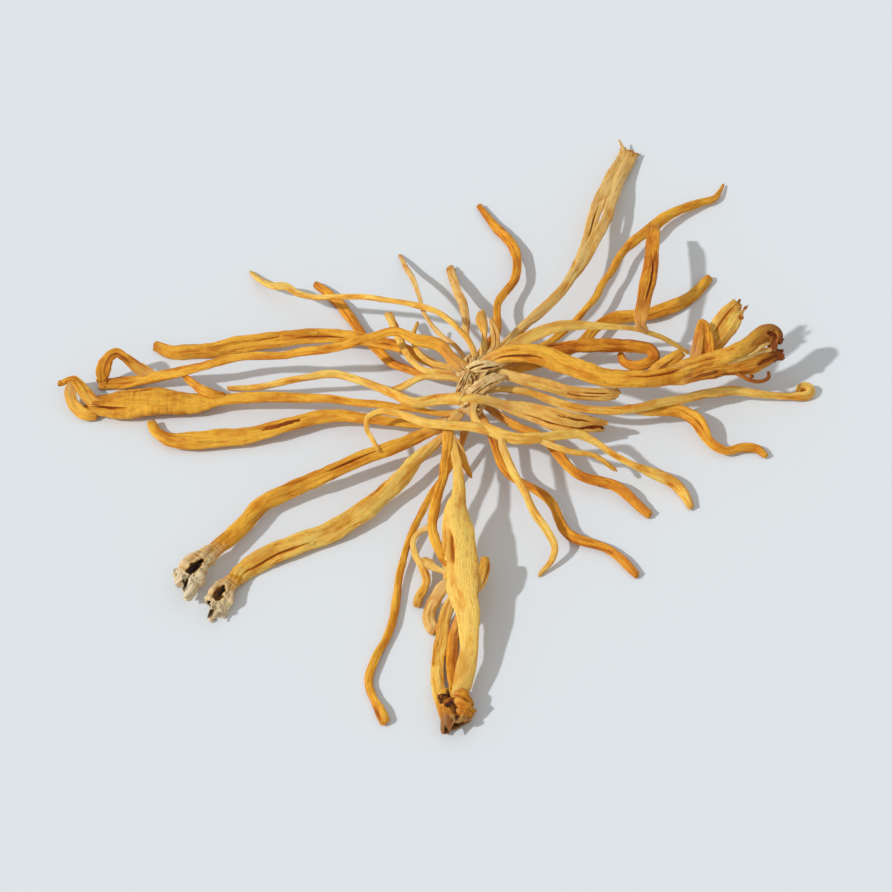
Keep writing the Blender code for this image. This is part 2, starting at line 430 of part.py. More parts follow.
def make_underside_stems():
    """Stems from the hidden underside of the base, down to the table all round."""
    stem("stem_low_left_upper", [
        (-5.1, -10.3, 8.2, 2), (-11.1, -13, 7.5, 2.5), (-18.5, -16.6, 6.6, 3.2), (-28.5, -20.5, 5.8, 3.5),
        (-37.1, -24.5, 5, 3.7), (-45.7, -28.5, 4.2, 4), (-52.2, -32.7, 3.6, 4), (-56.6, -38.6, 3.4, 3.9),
        (-61.4, -44.4, 3.6, 4.2), (-66, -49, 4, 4.4), (-69, -52, 4, 4.1)],
        rings=14, sides=8, flat=0.5, grows_from="base", tip="cup")
    stem("stem_low_left_lower", [
        (-6.2, -11.8, 6.1, 1.8), (-12.6, -18.4, 5.5, 2.8), (-18.6, -25.7, 4.8, 4), (-25.3, -32.6, 3.8, 4.4),
        (-31.8, -38.6, 3, 4.9), (-40.3, -42.6, 2.4, 4.9), (-48.8, -46, 2, 4.9), (-54.3, -49.9, 1.8, 4.9),
        (-58.4, -54.4, 1.7, 4.9), (-61.4, -59.6, 1.7, 4.1)],
        rings=13, sides=8, flat=0.5, grows_from="base", tip="cup")
    stem("stem_down_thin", [
        (-1.5, -9.1, 6.8, 1.8), (-5, -19.4, 4.6, 1.7), (-11, -30.5, 3.6, 1.7), (-15.4, -40.8, 2.6, 1.7),
        (-17.9, -50.4, 1.9, 1.7), (-19.1, -60.6, 1.5, 1.9), (-20.9, -69.3, 1.3, 1.9),
        (-23.8, -76.9, 1.2, 1.9), (-25.1, -82.5, 1.1, 2), (-24, -87.6, 1.1, 2), (-22.4, -91, 1.1, 2.6),
        (-21.4, -93.4, 1.1, 2.4)],
        rings=16, grows_from="base")
    stem("under_up", [
        (1.5, 5, 9, 1.8), (2, 12, 7.8, 2), (6, 21, 6.2, 2), (6.5, 32, 4.8, 2.1),
        (11.5, 43, 3.6, 2.3), (11, 55, 2.2, 2.5), (5.5, 64, 1.3, 2.3), (2, 71, 1.1, 1.7)],
        rings=12, grows_from="base")
    stem("under_right_up", [
        (2.5, 3.5, 8, 1.8), (8.5, 7.5, 6.8, 2.2), (16, 10.5, 5.8, 2.4), (27, 18, 4.4, 2.6),
        (35, 27.5, 3.2, 2.9), (47, 31, 2.2, 3.4), (58, 37.5, 1.5, 3), (63, 44, 1.3, 2.2)],
        rings=12, grows_from="base")
    stem("under_right_low", [
        (1.5, -4, 8.5, 1.8), (8, -9, 7.2, 2), (17, -14, 6, 2.1), (26, -24, 4.2, 2.3),
        (34, -26, 2.8, 2.6), (43, -34, 1.2, 2)],
        rings=11, grows_from="base")
    stem("under_right_down", [
        (0.5, -6, 8.4, 1.8), (4, -14, 7.2, 2), (8, -24, 5.6, 2), (18, -31, 3.8, 2.2),
        (23, -41, 2.2, 2.4), (33, -45, 1.3, 2.2), (39, -52, 1, 1.7)],
        rings=11, grows_from="base")


def place_on_origin():
    """Hangs every solid and cutter on one empty that centres the tuft."""
    holder = bpy.data.objects.new("tuft_middle", None)
    parts.objects.link(holder)
    holder.location = (-BOX_MIDDLE[0] * MM, -BOX_MIDDLE[1] * MM, -LOWEST * MM)
    for obj in list(parts.objects) + list(cutters.objects):
        if obj is not holder:
            obj.parent = holder


clear_scene()
parts = new_collection("dried_cordyceps")
cutters = new_collection("cutters")
materials = {
    "stem": new_material("dried_stem", (0.72, 0.36, 0.07), 0.75),
    "base": new_material("dried_base", (0.55, 0.42, 0.25), 0.9),
    "head": new_material("dried_head", (0.55, 0.22, 0.04), 0.85),
}
make_base()
make_left_stems()
make_upper_stems()
make_right_stems()
make_lower_stems()
make_crossing_stems()
make_underside_stems()
place_on_origin()
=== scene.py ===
# %% [markdown]
# # A dried cordyceps tuft
#
# A cordyceps tuft is a clump of thin fungus stems that grew from one base. Dried, the stems
# shrink to flat, grooved ribbons, twist, curl at the tips and turn from orange to gold. This
# one lies base up on a pale table, with its stems arching down to the table all round.
#
# The notebook builds it stem by stem. Each stem is a closed skin that numpy works out from a
# route, and each finish is a small recipe of shader nodes. The solids of the packed model are
# the frame: they say where everything is, and every one of them is replaced by a finer skin.

import math

import bpy
import numpy as np
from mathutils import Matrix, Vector


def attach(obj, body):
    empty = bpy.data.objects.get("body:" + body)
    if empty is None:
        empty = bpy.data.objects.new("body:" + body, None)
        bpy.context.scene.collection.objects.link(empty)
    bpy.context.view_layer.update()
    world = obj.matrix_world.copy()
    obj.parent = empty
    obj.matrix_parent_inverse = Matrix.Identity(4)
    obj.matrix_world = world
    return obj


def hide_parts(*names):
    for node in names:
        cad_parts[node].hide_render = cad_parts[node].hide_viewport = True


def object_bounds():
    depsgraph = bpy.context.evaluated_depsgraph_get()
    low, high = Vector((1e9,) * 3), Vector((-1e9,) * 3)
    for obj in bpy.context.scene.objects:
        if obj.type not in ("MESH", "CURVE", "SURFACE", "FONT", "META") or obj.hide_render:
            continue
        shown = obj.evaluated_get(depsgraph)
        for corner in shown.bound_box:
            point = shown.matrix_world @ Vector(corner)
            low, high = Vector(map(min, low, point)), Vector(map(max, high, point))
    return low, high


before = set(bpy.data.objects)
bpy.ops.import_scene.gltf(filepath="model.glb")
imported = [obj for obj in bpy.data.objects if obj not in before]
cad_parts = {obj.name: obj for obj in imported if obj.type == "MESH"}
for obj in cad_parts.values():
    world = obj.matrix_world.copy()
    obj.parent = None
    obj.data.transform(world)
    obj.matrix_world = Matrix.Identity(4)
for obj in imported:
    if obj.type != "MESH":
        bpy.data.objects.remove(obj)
cad_low, cad_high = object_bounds()
cad_size = [round((b - a) * 1000, 1) for a, b in zip(cad_low, cad_high)]
print("frame:", len(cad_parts), "solids,", cad_size, "mm")

# %% [markdown]
# ## The camera
#
# The photograph looks down on the table at about 52 degrees from some 60 cm away, with a lens
# that takes in 223 mm at the tuft. A camera object looks along its own -Z, so turning it about
# X by 90 degrees less the elevation points it down at the table, with +X to the right.

# %% The camera
MM = 0.001
ELEVATION = 52                                # degrees above the table
DISTANCE = 0.6                                # metres from the target
VIEW_WIDTH = 0.223                            # metres across the picture at the target
SENSOR_WIDTH = 36                             # millimetres
CLIP_START = 0.01                             # metres
TARGET = Vector((0.00295, -0.01375, 0.006))   # the point in the middle of the picture

camera_data = bpy.data.cameras.new("camera")
camera_data.sensor_width = SENSOR_WIDTH
camera_data.lens = SENSOR_WIDTH * DISTANCE / VIEW_WIDTH
camera_data.clip_start = CLIP_START
camera = bpy.data.objects.new("camera", camera_data)
bpy.context.scene.collection.objects.link(camera)
tilt = math.radians(90 - ELEVATION)
camera.location = TARGET + DISTANCE * Vector((0, -math.sin(tilt), math.cos(tilt)))
camera.rotation_euler = (tilt, 0, 0)
bpy.context.scene.camera = camera
print("camera: lens", round(camera_data.lens, 1), "mm")

# %% [markdown]
# ## Shader maths that reads like arithmetic
#
# A finish is a graph of nodes. Wiring each Math node by hand hides the idea, so a small class
# wraps an output socket: adding or multiplying two of them adds the node. Any other node comes
# from the one method `node`, which takes its type, its settings and its inputs.

# %% A socket that can be added and multiplied
MIX_FACTOR, MIX_A, MIX_B, MIX_RESULT = 0, 6, 7, 2   # places of a Mix node's colour sockets


class Socket:
    """An output socket of a node in a material, with arithmetic on it."""

    def __init__(self, tree, output=None):
        self.tree = tree
        self.output = output

    def node(self, kind, settings=None, inputs=None, output=0):
        """Adds a node: its settings first, then a value or a link for each input."""
        made = self.tree.nodes.new("ShaderNode" + kind)
        for key, value in (settings or {}).items():
            if key == "stops":
                self.set_stops(made.color_ramp, value)
            else:
                setattr(made, key, value)
        for key, value in (inputs or {}).items():
            if isinstance(value, Socket):
                self.tree.links.new(value.output, made.inputs[key])
            else:
                made.inputs[key].default_value = value
        return Socket(self.tree, made.outputs[output])

    @staticmethod
    def set_stops(ramp, stops):
        """Gives a colour ramp its (place, colour) stops."""
        while len(ramp.elements) < len(stops):
            ramp.elements.new(0.5)
        for element, (place, colour) in zip(ramp.elements, stops):
            element.position = place
            element.color = (*colour, 1)

    def maths(self, operation, *values):
        """A Math node that works out the operation on the values, in their order."""
        return self.node("Math", {"operation": operation}, dict(enumerate(values)))

    def __add__(self, other):
        return self.maths("ADD", self, other)

    def __mul__(self, other):
        return self.maths("MULTIPLY", self, other)

    def __sub__(self, other):
        return self.maths("SUBTRACT", self, other)

    def __rsub__(self, other):
        return self.maths("SUBTRACT", other, self)

    __radd__ = __add__
    __rmul__ = __mul__

    def rise(self, low, high):
        """0 below low, 1 above high and a smooth rise between them."""
        return self.node("MapRange", {"interpolation_type": "SMOOTHSTEP"},
                         {"Value": self, "From Min": low, "From Max": high})

    def tint(self, colour, factor):
        """This colour, mixed towards another one by the factor."""
        return self.node("Mix", {"data_type": "RGBA"},
                         {MIX_FACTOR: factor, MIX_A: self, MIX_B: (*colour, 1)}, MIX_RESULT)

    def noise(self, squeeze, scale, detail, roughness):
        """Noise from 0 to 1 at this vector, drawn out along its z where squeeze is below 1."""
        place = self.node("VectorMath", {"operation": "MULTIPLY"}, {0: self, 1: (1, 1, squeeze)})
        return self.node("TexNoise", None, {"Vector": place, "Scale": scale, "Detail": detail,
                                            "Roughness": roughness})


print("shader maths:", ", ".join(name for name in vars(Socket) if name[0] != "_"))

# %% [markdown]
# ## The finish of a dried stem
#
# Close up, a dried stem is a bundle of fine threads under a velvety skin. Its colour is painted
# gold where the skin stands up and on its top, as painted light, and orange to brown down in its
# grooves and on its underside, as painted shade, and it is paler near the base. Whole stretches
# of it are redder than the next, thin dark veins run along it, and brown specks lie all over it.
#
# All of that has to follow the stem round its bends. So each skin carries two attributes that
# the next cells work out: `straight`, where the point would be on the unrolled, straightened
# stem in millimetres, and `marks`, which holds the point's tone with its painted shade and
# painted light, how near the root it is and how near the tip. Noise read at `straight`, squeezed
# along the stem, turns into threads.

# %% What the finish is made of
PATTERNS = {                             # squeeze, scale, detail and roughness of each noise
    "threads": (0.08, 2.4, 5, 0.72),     # fine fibres, all along
    "bands": (0.10, 0.9, 3, 0.55),       # bundles of fibres
    "blotches": (0.4, 0.26, 4, 0.6),     # stretches that are paler or redder
    "veins": (0.045, 2.6, 2, 0.5),       # dark lines, where this noise is close to one half
    "dust": (1, 2.8, 3, 0.65),           # grains and specks
}
COLOUR_WEIGHTS = (1.5, 1.1, 0.9)         # how much threads, bands and blotches lift the colour
RAMP_PLACES = (0.12, 0.45, 0.88)         # where the deep, middle and light colours stand
VEIN_EDGES = (0.004, 0.035)              # how far from one half a vein begins and ends
VEINED_BLOTCHES = (0.42, 0.6)
VEIN_STRENGTH = 0.5
BLUSHED_BLOTCHES = (0.48, 0.62)
BLUSH_COLOUR = (0.56, 0.17, 0.008)
ROOT_BANDS = (0.25, 0.6)
ROOT_BAND_STRENGTH = 0.5
SPECK_EDGES = (0.66, 0.73)
SPECK_COLOUR = (0.27, 0.10, 0.025)
THREAD_RELIEF = 1.1
BAND_RELIEF = 0.6
BUMP = {"Strength": 0.9, "Distance": 0.35 * MM}
SURFACE = {"Roughness": 0.55, "Specular IOR Level": 0.22, "Subsurface Weight": 0.2,
           "Subsurface Radius": (1.0, 0.42, 0.1), "Subsurface Scale": 0.6 * MM}
print("patterns:", ", ".join(PATTERNS))


# %% The stem finish
def stem_finish(name, light, middle, deep, specks=0.5, grain=0.3, blush=0.5,
                root_colour=(0.80, 0.53, 0.20), tip_colour=(0.42, 0.14, 0.012),
                root_strength=0.4, tip_strength=0.4):
    """Gold on the ridges, orange below them and brown in the grooves, as painted light and shade, and
    threads all along.
    """
    material = bpy.data.materials.new(name)
    material.use_nodes = True
    tree = material.node_tree
    shader = tree.nodes["Principled BSDF"]
    start = Socket(tree)
    straight, marks = (start.node("Attribute", {"attribute_name": key}, output="Vector")
                       for key in ("straight", "marks"))
    tone_and_shade, root, tip = (marks.node("SeparateXYZ", None, {0: marks}, axis) for axis in "XYZ")
    threads, bands, blotches, veins, dust = (straight.noise(*PATTERNS[key]) for key in PATTERNS)

    # The tone mark carries painted shade and painted light, and noise adds the stem's own tone to it.
    stand = tone_and_shade
    for pattern, weight in zip((threads, bands, blotches), COLOUR_WEIGHTS):
        stand = stand + (pattern - 0.5) * weight
    stops = list(zip(RAMP_PLACES, (deep, middle, light)))
    colour = stand.node("ValToRGB", {"stops": stops}, {0: stand})
    off_vein = veins - 0.5
    vein = 1 - off_vein.maths("ABSOLUTE", off_vein).rise(*VEIN_EDGES)
    colour = colour.tint(deep, vein * blotches.rise(*VEINED_BLOTCHES) * VEIN_STRENGTH)
    colour = colour.tint(BLUSH_COLOUR, (1 - blotches).rise(*BLUSHED_BLOTCHES) * blush)
    pale_bands = root_strength + ROOT_BAND_STRENGTH * bands.rise(*ROOT_BANDS)
    colour = colour.tint(root_colour, root * pale_bands)
    colour = colour.tint(tip_colour, tip * tip_strength)
    colour = colour.tint(SPECK_COLOUR, dust.rise(*SPECK_EDGES) * specks)

    relief = THREAD_RELIEF * threads + grain * dust + BAND_RELIEF * bands
    bump = relief.node("Bump", None, {"Height": relief, **BUMP}, "Normal")
    tree.links.new(colour.output, shader.inputs["Base Color"])
    tree.links.new(bump.output, shader.inputs["Normal"])
    for key, value in SURFACE.items():
        shader.inputs[key].default_value = value
    return material


print("finish: three colours and", len(PATTERNS), "noises")

# %% [markdown]
# ## The finishes of this tuft
#
# Most stems are golden or pale. The deeper ones are a darker orange, partly their own colour and
# partly painted shade. The base is crushed, washed-out fibre, two tips are pale husks, the broad
# stem's end is singed dark, and the ragged head is russet. They all share the one recipe, with
# three colours each, so that the tuft stays of a kind.

# %% The finishes
finishes = {
    "golden": stem_finish("golden_stem", (0.94, 0.50, 0.05), (0.74, 0.28, 0.013), (0.24, 0.045, 0.003)),
    "pale": stem_finish("pale_stem", (0.98, 0.65, 0.145), (0.88, 0.42, 0.038), (0.34, 0.078, 0.006),
                        specks=0.4, blush=0.45),
    # A darker orange: partly the own colour of a few stems, partly painted shade on stems that lie deeper.
    "orange": stem_finish("shaded_orange_stem", (0.88, 0.40, 0.03), (0.60, 0.17, 0.007), (0.16, 0.024, 0.003)),
    "beige": stem_finish("beige_stem", (0.90, 0.60, 0.20), (0.74, 0.36, 0.055), (0.24, 0.06, 0.007),
                         specks=0.6, blush=0.3),
    "grainy": stem_finish("grainy_stem", (0.97, 0.60, 0.14), (0.84, 0.36, 0.035), (0.20, 0.035, 0.005),
                          specks=0.9, grain=0.9),
    "crushed": stem_finish("crushed_fibre", (0.96, 0.70, 0.33), (0.76, 0.42, 0.12), (0.08, 0.021, 0.003),
                           grain=0.9, blush=0, root_colour=(0.80, 0.58, 0.27)),
    "singed": stem_finish("singed_stem", (0.94, 0.53, 0.07), (0.74, 0.28, 0.018), (0.20, 0.035, 0.003),
                          tip_colour=(0.25, 0.06, 0.008), tip_strength=1),
    "husk": stem_finish("pale_husk", (0.97, 0.81, 0.50), (0.80, 0.50, 0.17), (0.02, 0.007, 0.003),
                        specks=0.8, grain=0.9, blush=0.2, root_colour=(0.84, 0.38, 0.03),
                        root_strength=0.9, tip_colour=(0.86, 0.74, 0.54)),
    "russet": stem_finish("russet_head", (0.88, 0.40, 0.04), (0.52, 0.14, 0.010), (0.045, 0.010, 0.003),
                          specks=0.8, grain=1.0, root_colour=(0.88, 0.46, 0.05),
                          tip_colour=(0.30, 0.17, 0.08), tip_strength=0.7),
}
print("finishes:", ", ".join(finishes))

# %% [markdown]
# ## Noise for shapes
#
# The grooves and lumps of a dried stem have no pattern, but they are long and thin: they run
# along it. Noise on a lattice does that when its cells are long and thin too. The lattice wraps
# round the stem, so that no seam shows, and its values come from a seed, so that each run
# gives the same stem.

# %% Noise on a lattice that wraps round a stem
ONCE = np.zeros(1)              # the one place round a stem where a whole ring shares a value
SEED_RANGE = 99991              # seeds stay below this prime


def lattice_noise(seed, around, along, cells, length):
    """Smooth noise from -1 to 1 at `around` (0 to 1, once round) and `along` (millimetres).

    Random values sit on a lattice, `cells` of them once round and one each `length` mm along.
    Between lattice points the four nearest values are mixed with weights 3 t^2 - 2 t^3.
    """
    a, b = np.broadcast_arrays(around * cells, along / length)
    i, j = np.floor(a).astype(int), np.floor(b).astype(int)
    values = np.random.default_rng(seed).uniform(-1, 1, (cells, j.max() + 2))
    s, t = a - i, b - j
    s, t = s * s * (3 - 2 * s), t * t * (3 - 2 * t)
    i, k = i % cells, (i + 1) % cells
    return ((values[i, j] * (1 - s) + values[k, j] * s) * (1 - t)
            + (values[i, j + 1] * (1 - s) + values[k, j + 1] * s) * t)


def name_seed(name):
    """A seed that only depends on the letters of the name."""
    return int.from_bytes(name.encode(), "little") % SEED_RANGE


print("noise:", lattice_noise(1, np.array([0.3]), np.array([2.0]), 5, 8.0).round(3))

# %% [markdown]
# ## A route through space
#
# A stem's route is a short list of given points, each with the width of the stem there, in
# millimetres. The points are measured from the table below the base, as in the model's own
# source. A cubic curve through them gives as many places along the stem as the skin needs.

# %% From a few points to a smooth route
STEP = 0.22                     # millimetres between the rings of a skin
FEWEST_RINGS = 6
FRAME_ORIGIN = np.array([-10.05, -2.65, 0.08])  # the frame's origin, as the routes measure it
UP = (0.0, 0.0, 1.0)
LEANING = (0.0, -0.6, 0.8)      # the flat side of most stems looks up and towards the viewer


def smooth_route(points, step=STEP):
    """Rows of x, y, z and width at even steps along a cubic curve through the points.

    On each stretch the curve is the Hermite cubic of its two ends and their slopes, and a
    slope is the weighted mean of the chords on both sides.
    """
    p = np.array(points, dtype=float)
    p[:, :3] -= FRAME_ORIGIN
    run = np.concatenate([[0], np.cumsum(np.linalg.norm(np.diff(p[:, :3], axis=0), axis=1))])
    slope = np.gradient(p, run, axis=0)
    place = np.linspace(0, run[-1], max(int(run[-1] / step), FEWEST_RINGS))
    k = np.clip(np.searchsorted(run, place) - 1, 0, len(run) - 2)
    h = (run[k + 1] - run[k])[:, None]
    t = (place - run[k])[:, None] / h
    start = (2 * t**3 - 3 * t**2 + 1) * p[k] + (t**3 - 2 * t**2 + t) * h * slope[k]
    end = (3 * t**2 - 2 * t**3) * p[k + 1] + (t**3 - t**2) * h * slope[k + 1]
    return start + end, place


def frames_along(middle, face, turn):
    """Unit vectors along, across and out of a stem, turned about it by the angles in `turn`.

    Out is the given face made square to the route, and across is out x along.
    """
    along = np.gradient(middle, axis=0)
    along /= np.linalg.norm(along, axis=1)[:, None]
    out = np.array(face) - along * (along @ np.array(face))[:, None]
    out /= np.linalg.norm(out, axis=1)[:, None]
    across = np.cross(out, along)
    c, s = np.cos(turn)[:, None], np.sin(turn)[:, None]
    return along, across * c + out * s, out * c - across * s


print("routes: a ring each", STEP, "mm")

# %% [markdown]
# ## How a stem bends and swells
#
# No dried stem follows its line exactly. It turns to and fro about it, strays a little aside,
# grows thinner and thicker, and its flat sides fold up like a gutter. Each of these is a sway:
# lattice noise along the route alone, with a length of its own, so that none keeps time with
# another.

# %% How a stem bends and swells along its route
SWAYS = {                       # millimetres from one lattice point of each sway to the next
    "turn": 11.0, "aside": 6.0, "outwards": 5.0, "width": 5.0, "ripple": 1.7, "flatness": 8.0,
    "fold": 9.0,
}
TURN_DEGREES = 14
OUTWARDS_SHARE = 0.6            # how far a stem strays outwards, as a share of aside
STRAY_FADE = 4.0                # millimetres at both ends over which the straying dies out
ROOT_BLUNTNESS = 0.03           # keeps the first ring from shrinking to a point
BREADTH = 1.08                  # a stem's mean width, as a share of its route's
WIDTH_SWAY = 0.08
RIPPLE_SWAY = 0.05
STEADY_HALF = 1.4               # millimetres: stems broader than twice this sway less in width
FLARE_LENGTH = 2.5              # millimetres over which the flare of a root dies out
FLATNESS_SWAY = 0.2
MEAN_FOLD = 0.3
FOLD_FADE = 3.0                 # millimetres before the tip over which the fold opens


def bend_and_swell(seed, rows, run, face, twist, wander, flare, flat, fold):
    """The spine of a stem (middle, along, across, out) and its half width, flatness and fold.

    Middle = route + wander * (across * sway + 0.6 * out * sway), and half width = route's half
    width * (1.08 + sways) * (1 + flare * e^(-run / 2.5)), rounded off where the stem starts.
    """
    middle, half = rows[:, :3], rows[:, 3] / 2
    sway = {key: lattice_noise(seed + i, ONCE, run, 1, length)
            for i, (key, length) in enumerate(SWAYS.items())}
    turn = np.radians(np.linspace(*twist, len(run)) + TURN_DEGREES * sway["turn"])
    along, across, out = frames_along(middle, face, turn)
    left = run[-1] - run
    ends = np.clip(run / STRAY_FADE, 0, 1) * np.clip(left / STRAY_FADE, 0, 1)
    stray = across * sway["aside"][:, None] + OUTWARDS_SHARE * out * sway["outwards"][:, None]
    middle = middle + stray * wander * ends[:, None]
    start = np.sqrt(1 - (1 - np.clip(run / half[0], ROOT_BLUNTNESS, 1)) ** 2)
    uneven = WIDTH_SWAY * sway["width"] + RIPPLE_SWAY * sway["ripple"]
    uneven = uneven * np.minimum(1, STEADY_HALF / half)
    half = half * (BREADTH + uneven) * (1 + flare * np.exp(-run / FLARE_LENGTH)) * start
    flats = flat * (1 + FLATNESS_SWAY * sway["flatness"])
    folds = fold * (MEAN_FOLD + sway["fold"]) * np.clip(left / FOLD_FADE, 0, 1)
    return (middle, along, across, out), half, flats, folds


print("sways:", ", ".join(SWAYS))

# %% [markdown]
# ## Tips
#
# Dried stems end in many ways: a round dome, a drawn-out point, a blunt break, or a cup or a
# wider mouth, where the stem is hollow and its rim has dried inwards. Past the end of the route
# a tip is a profile: how far each ring moves on, in half thicknesses, and how large it is, as a
# share of the last section. A hollow tip's profile turns back and runs down inside.

# %% Profiles of the tips
HOLLOW_RINGS = 26
PLAIN_RINGS = 12
LIP = 1.5                       # profile points from the lip to where the painted shade inside is full
TIPS = {
    "round": [(0, 1), (0.3, 0.96), (0.6, 0.84), (0.85, 0.64), (1.0, 0.4), (1.08, 0.15)],
    "point": [(0, 1), (0.8, 0.86), (1.6, 0.62), (2.4, 0.36), (3.0, 0.12)],
    "blunt": [(0, 1), (0.3, 1.0), (0.6, 0.9), (0.7, 0.6), (0.55, 0.3), (0.6, 0.1)],
    "cup": [(0, 1), (0.4, 1.04), (0.75, 1.0), (0.8, 0.84), (0.3, 0.72), (-0.6, 0.62), (-1.8, 0.5),
            (-2.6, 0.12)],
    "mouth": [(0, 1), (0.5, 1.03), (0.9, 1.0), (0.95, 0.93), (0.6, 0.86), (-0.6, 0.8), (-1.6, 0.66),
              (-2.4, 0.12)],
}


def tip_profile(kind):
    """Even steps along the profile of a tip: how far on, how large, how far inside."""
    points = np.array(TIPS[kind], dtype=float)
    hollow = kind in ("cup", "mouth")
    place = np.linspace(0, len(points) - 1, (HOLLOW_RINGS if hollow else PLAIN_RINGS) + 1)[1:]
    on = np.interp(place, range(len(points)), points[:, 0])
    size = np.interp(place, range(len(points)), points[:, 1])
    lip = np.argmax(points[:, 0])
    inside = np.clip((place - lip) / LIP, 0, 1) if hollow else place * 0
    return on, size, inside


print("tips:", ", ".join(TIPS))

# %% [markdown]
# ## Grooves, creases and lumps
#
# A main groove runs along the top of a stem and, fainter, along its underside. Finer creases
# run wherever long noise crosses zero, which gives lines that branch and meet as real ones do.
# Lumps swell the stem here and there, and fine wrinkles cross it. All of them drift slowly
# round the stem, so that no line is quite parallel to it.

# %% Patterns on the skin
DRIFT = 0.12                    # how far the patterns drift round the stem, as a share of once
DRIFT_LENGTH = 14.0             # lengths are in millimetres along the stem
GROOVE_DRIFT = 5
GROOVE_WIDTH = 0.30
GROOVE_LENGTH = 9.0
GROOVE_DEPTH, GROOVE_SWAY = 0.75, 0.35  # its mean depth, and how much that changes along the stem
UNDERSIDE_GROOVE = 0.6
CREASE_WIDTH = 0.17
CREASE_LENGTH = 13.0
CREASE_DEPTH, CREASE_SWAY = 0.6, 0.4
FINE_CREASE_LENGTH = 6.0
FINE_CREASE_SHARE = 0.4
LUMP_CELLS, LUMP_LENGTH = 3, 5.0
SMALL_LUMP_CELLS, SMALL_LUMP_LENGTH = 7, 1.3
SMALL_LUMP_SHARE = 0.3
WRINKLE_CELLS, WRINKLE_LENGTH = 4, 0.55


def skin_patterns(seed, share, skin, cells):
    """Drift, groove, creases, lumps and wrinkles at a share round a stem and a place along it.

    Groove = e^-(cos(angle) / width)^2, deeper or shallower along the stem. Creases are the same
    bell of two long noises, and lumps and wrinkles are short noise as it is.
    """
    drift = DRIFT * lattice_noise(seed + 17, ONCE, skin, 1, DRIFT_LENGTH)
    place = np.mod(share + drift, 1)
    bent = share * 2 * math.pi + GROOVE_DRIFT * drift
    side = np.where(np.sin(bent) > 0, 1, UNDERSIDE_GROOVE)
    dip = np.exp(-(np.cos(bent) / GROOVE_WIDTH) ** 2) * side
    dip = dip * (GROOVE_DEPTH + GROOVE_SWAY * lattice_noise(seed + 8, ONCE, skin, 1, GROOVE_LENGTH))
    web = lattice_noise(seed + 9, place, skin, cells, CREASE_LENGTH)
    fine = lattice_noise(seed + 10, place, skin, 2 * cells + 1, FINE_CREASE_LENGTH)
    creases = np.exp(-(web / CREASE_WIDTH) ** 2) * (CREASE_DEPTH + CREASE_SWAY * fine)
    creases = creases + FINE_CREASE_SHARE * np.exp(-(fine / CREASE_WIDTH) ** 2)
    swell = lattice_noise(seed + 11, place, skin, LUMP_CELLS, LUMP_LENGTH)
    small = lattice_noise(seed + 12, place, skin, SMALL_LUMP_CELLS, SMALL_LUMP_LENGTH)
    swell = swell + SMALL_LUMP_SHARE * small
    wrinkles = lattice_noise(seed + 14, place, skin, WRINKLE_CELLS, WRINKLE_LENGTH)
    return drift, dip, creases, swell, wrinkles


print("creases:", CREASE_LENGTH, "mm long, and lumps:", LUMP_LENGTH, "mm")

# %% [markdown]
# ## Slits and torn holes
#
# Where a hollow stem dried fast, its skin split: long thin slits, and here and there a torn hole.
# Cutting them out with a boolean would leave open edges, so the skin is pressed in instead, and
# the finish paints their insides dark, as painted shade, where the skin is deep.

# %% How deep a slit is
SLIT_EDGE = 0.003               # half width of a slit's pointed ends, as a share of once round
SLIT_WIDTH = 0.017              # what its middle adds to that
HOLE_CELLS, HOLE_LENGTH = 23, 0.9
HOLE_UNEVENNESS = 0.4
HOLE_STEEPNESS = 2.2
HOLE_REACH = 1.3                # where a hole's uneven edge has to end, in half lengths


def slit_depth(slits, share, skin, bend, seed):
    """How deep each point lies in a slit: a narrow bell across it that tapers to both ends.

    A slit is its place round the stem (0 to 1), where it starts and ends in millimetres and,
    if it is a torn hole, its half width as a share of the way round. A hole is an ellipse with
    steep walls and an uneven edge.
    """
    depth = 0 * share * skin
    for place, start, end, *wide in slits:
        off = np.abs(np.mod(share - place - bend + 0.5, 1) - 0.5)
        along = (skin - start) / (end - start)
        if wide:
            uneven = HOLE_UNEVENNESS * lattice_noise(seed + 16, share, skin, HOLE_CELLS, HOLE_LENGTH)
            inside = 1 + uneven - (off / wide[0]) ** 2 - (2 * along - 1) ** 2
            depth = depth + np.clip(HOLE_STEEPNESS * inside, 0, 1) * (np.abs(2 * along - 1) < HOLE_REACH)
        else:
            taper = np.sqrt(np.sin(math.pi * np.clip(along, 0, 1)))
            depth = depth + np.exp(-(off / (SLIT_EDGE + SLIT_WIDTH * taper)) ** 2) * taper
    return np.minimum(depth, 1)


print("slits:", round(200 * (SLIT_EDGE + SLIT_WIDTH), 1), "% of the way round at their widest")

# %% [markdown]
# ## The skin of a stem
#
# A stem's skin is a function of two parameters: the place along the route and the angle round
# it. The section starts as a flattened round, and the patterns press it in or swell it. The same
# numbers give each point a tone, with painted shade in grooves, creases and on the underside and
# painted light on top and on lumps, which the finish reads for its colour. A cylinder bent by a
# curve modifier would be quicker, but could carry none of this round the bends.

# %% Marks for the finish
PLAIN_TONE = 0.68             # the tone of plain skin, on a scale of 0 to 1
PAINTED_TOP_LIGHT = 0.19                # painted light that the top adds to that, and painted shade that the underside takes off
# Painted light where lumps swell out
PAINTED_LUMP_LIGHT = 0.18
EDGE_LIGHT = 0.10
PAINTED_WRINKLE_LIGHT = 3               # painted light on raised wrinkles, as a multiple of the wrinkles' own depth
# Painted shade in grooves, creases, slits and hollows
GROOVE_SHADE = 0.32
CREASE_SHADE = 0.34
SLIT_SHADE = 0.9
HOLLOW_SHADE = 0.9
SLIT_DEEP_SHADE, HOLLOW_DEEP_SHADE = 0.6, 0.4       # how far below zero the painted shade in slits and hollows goes
ROOT_START = 1.4                # above 1, so that the root's colour stays full for a little way


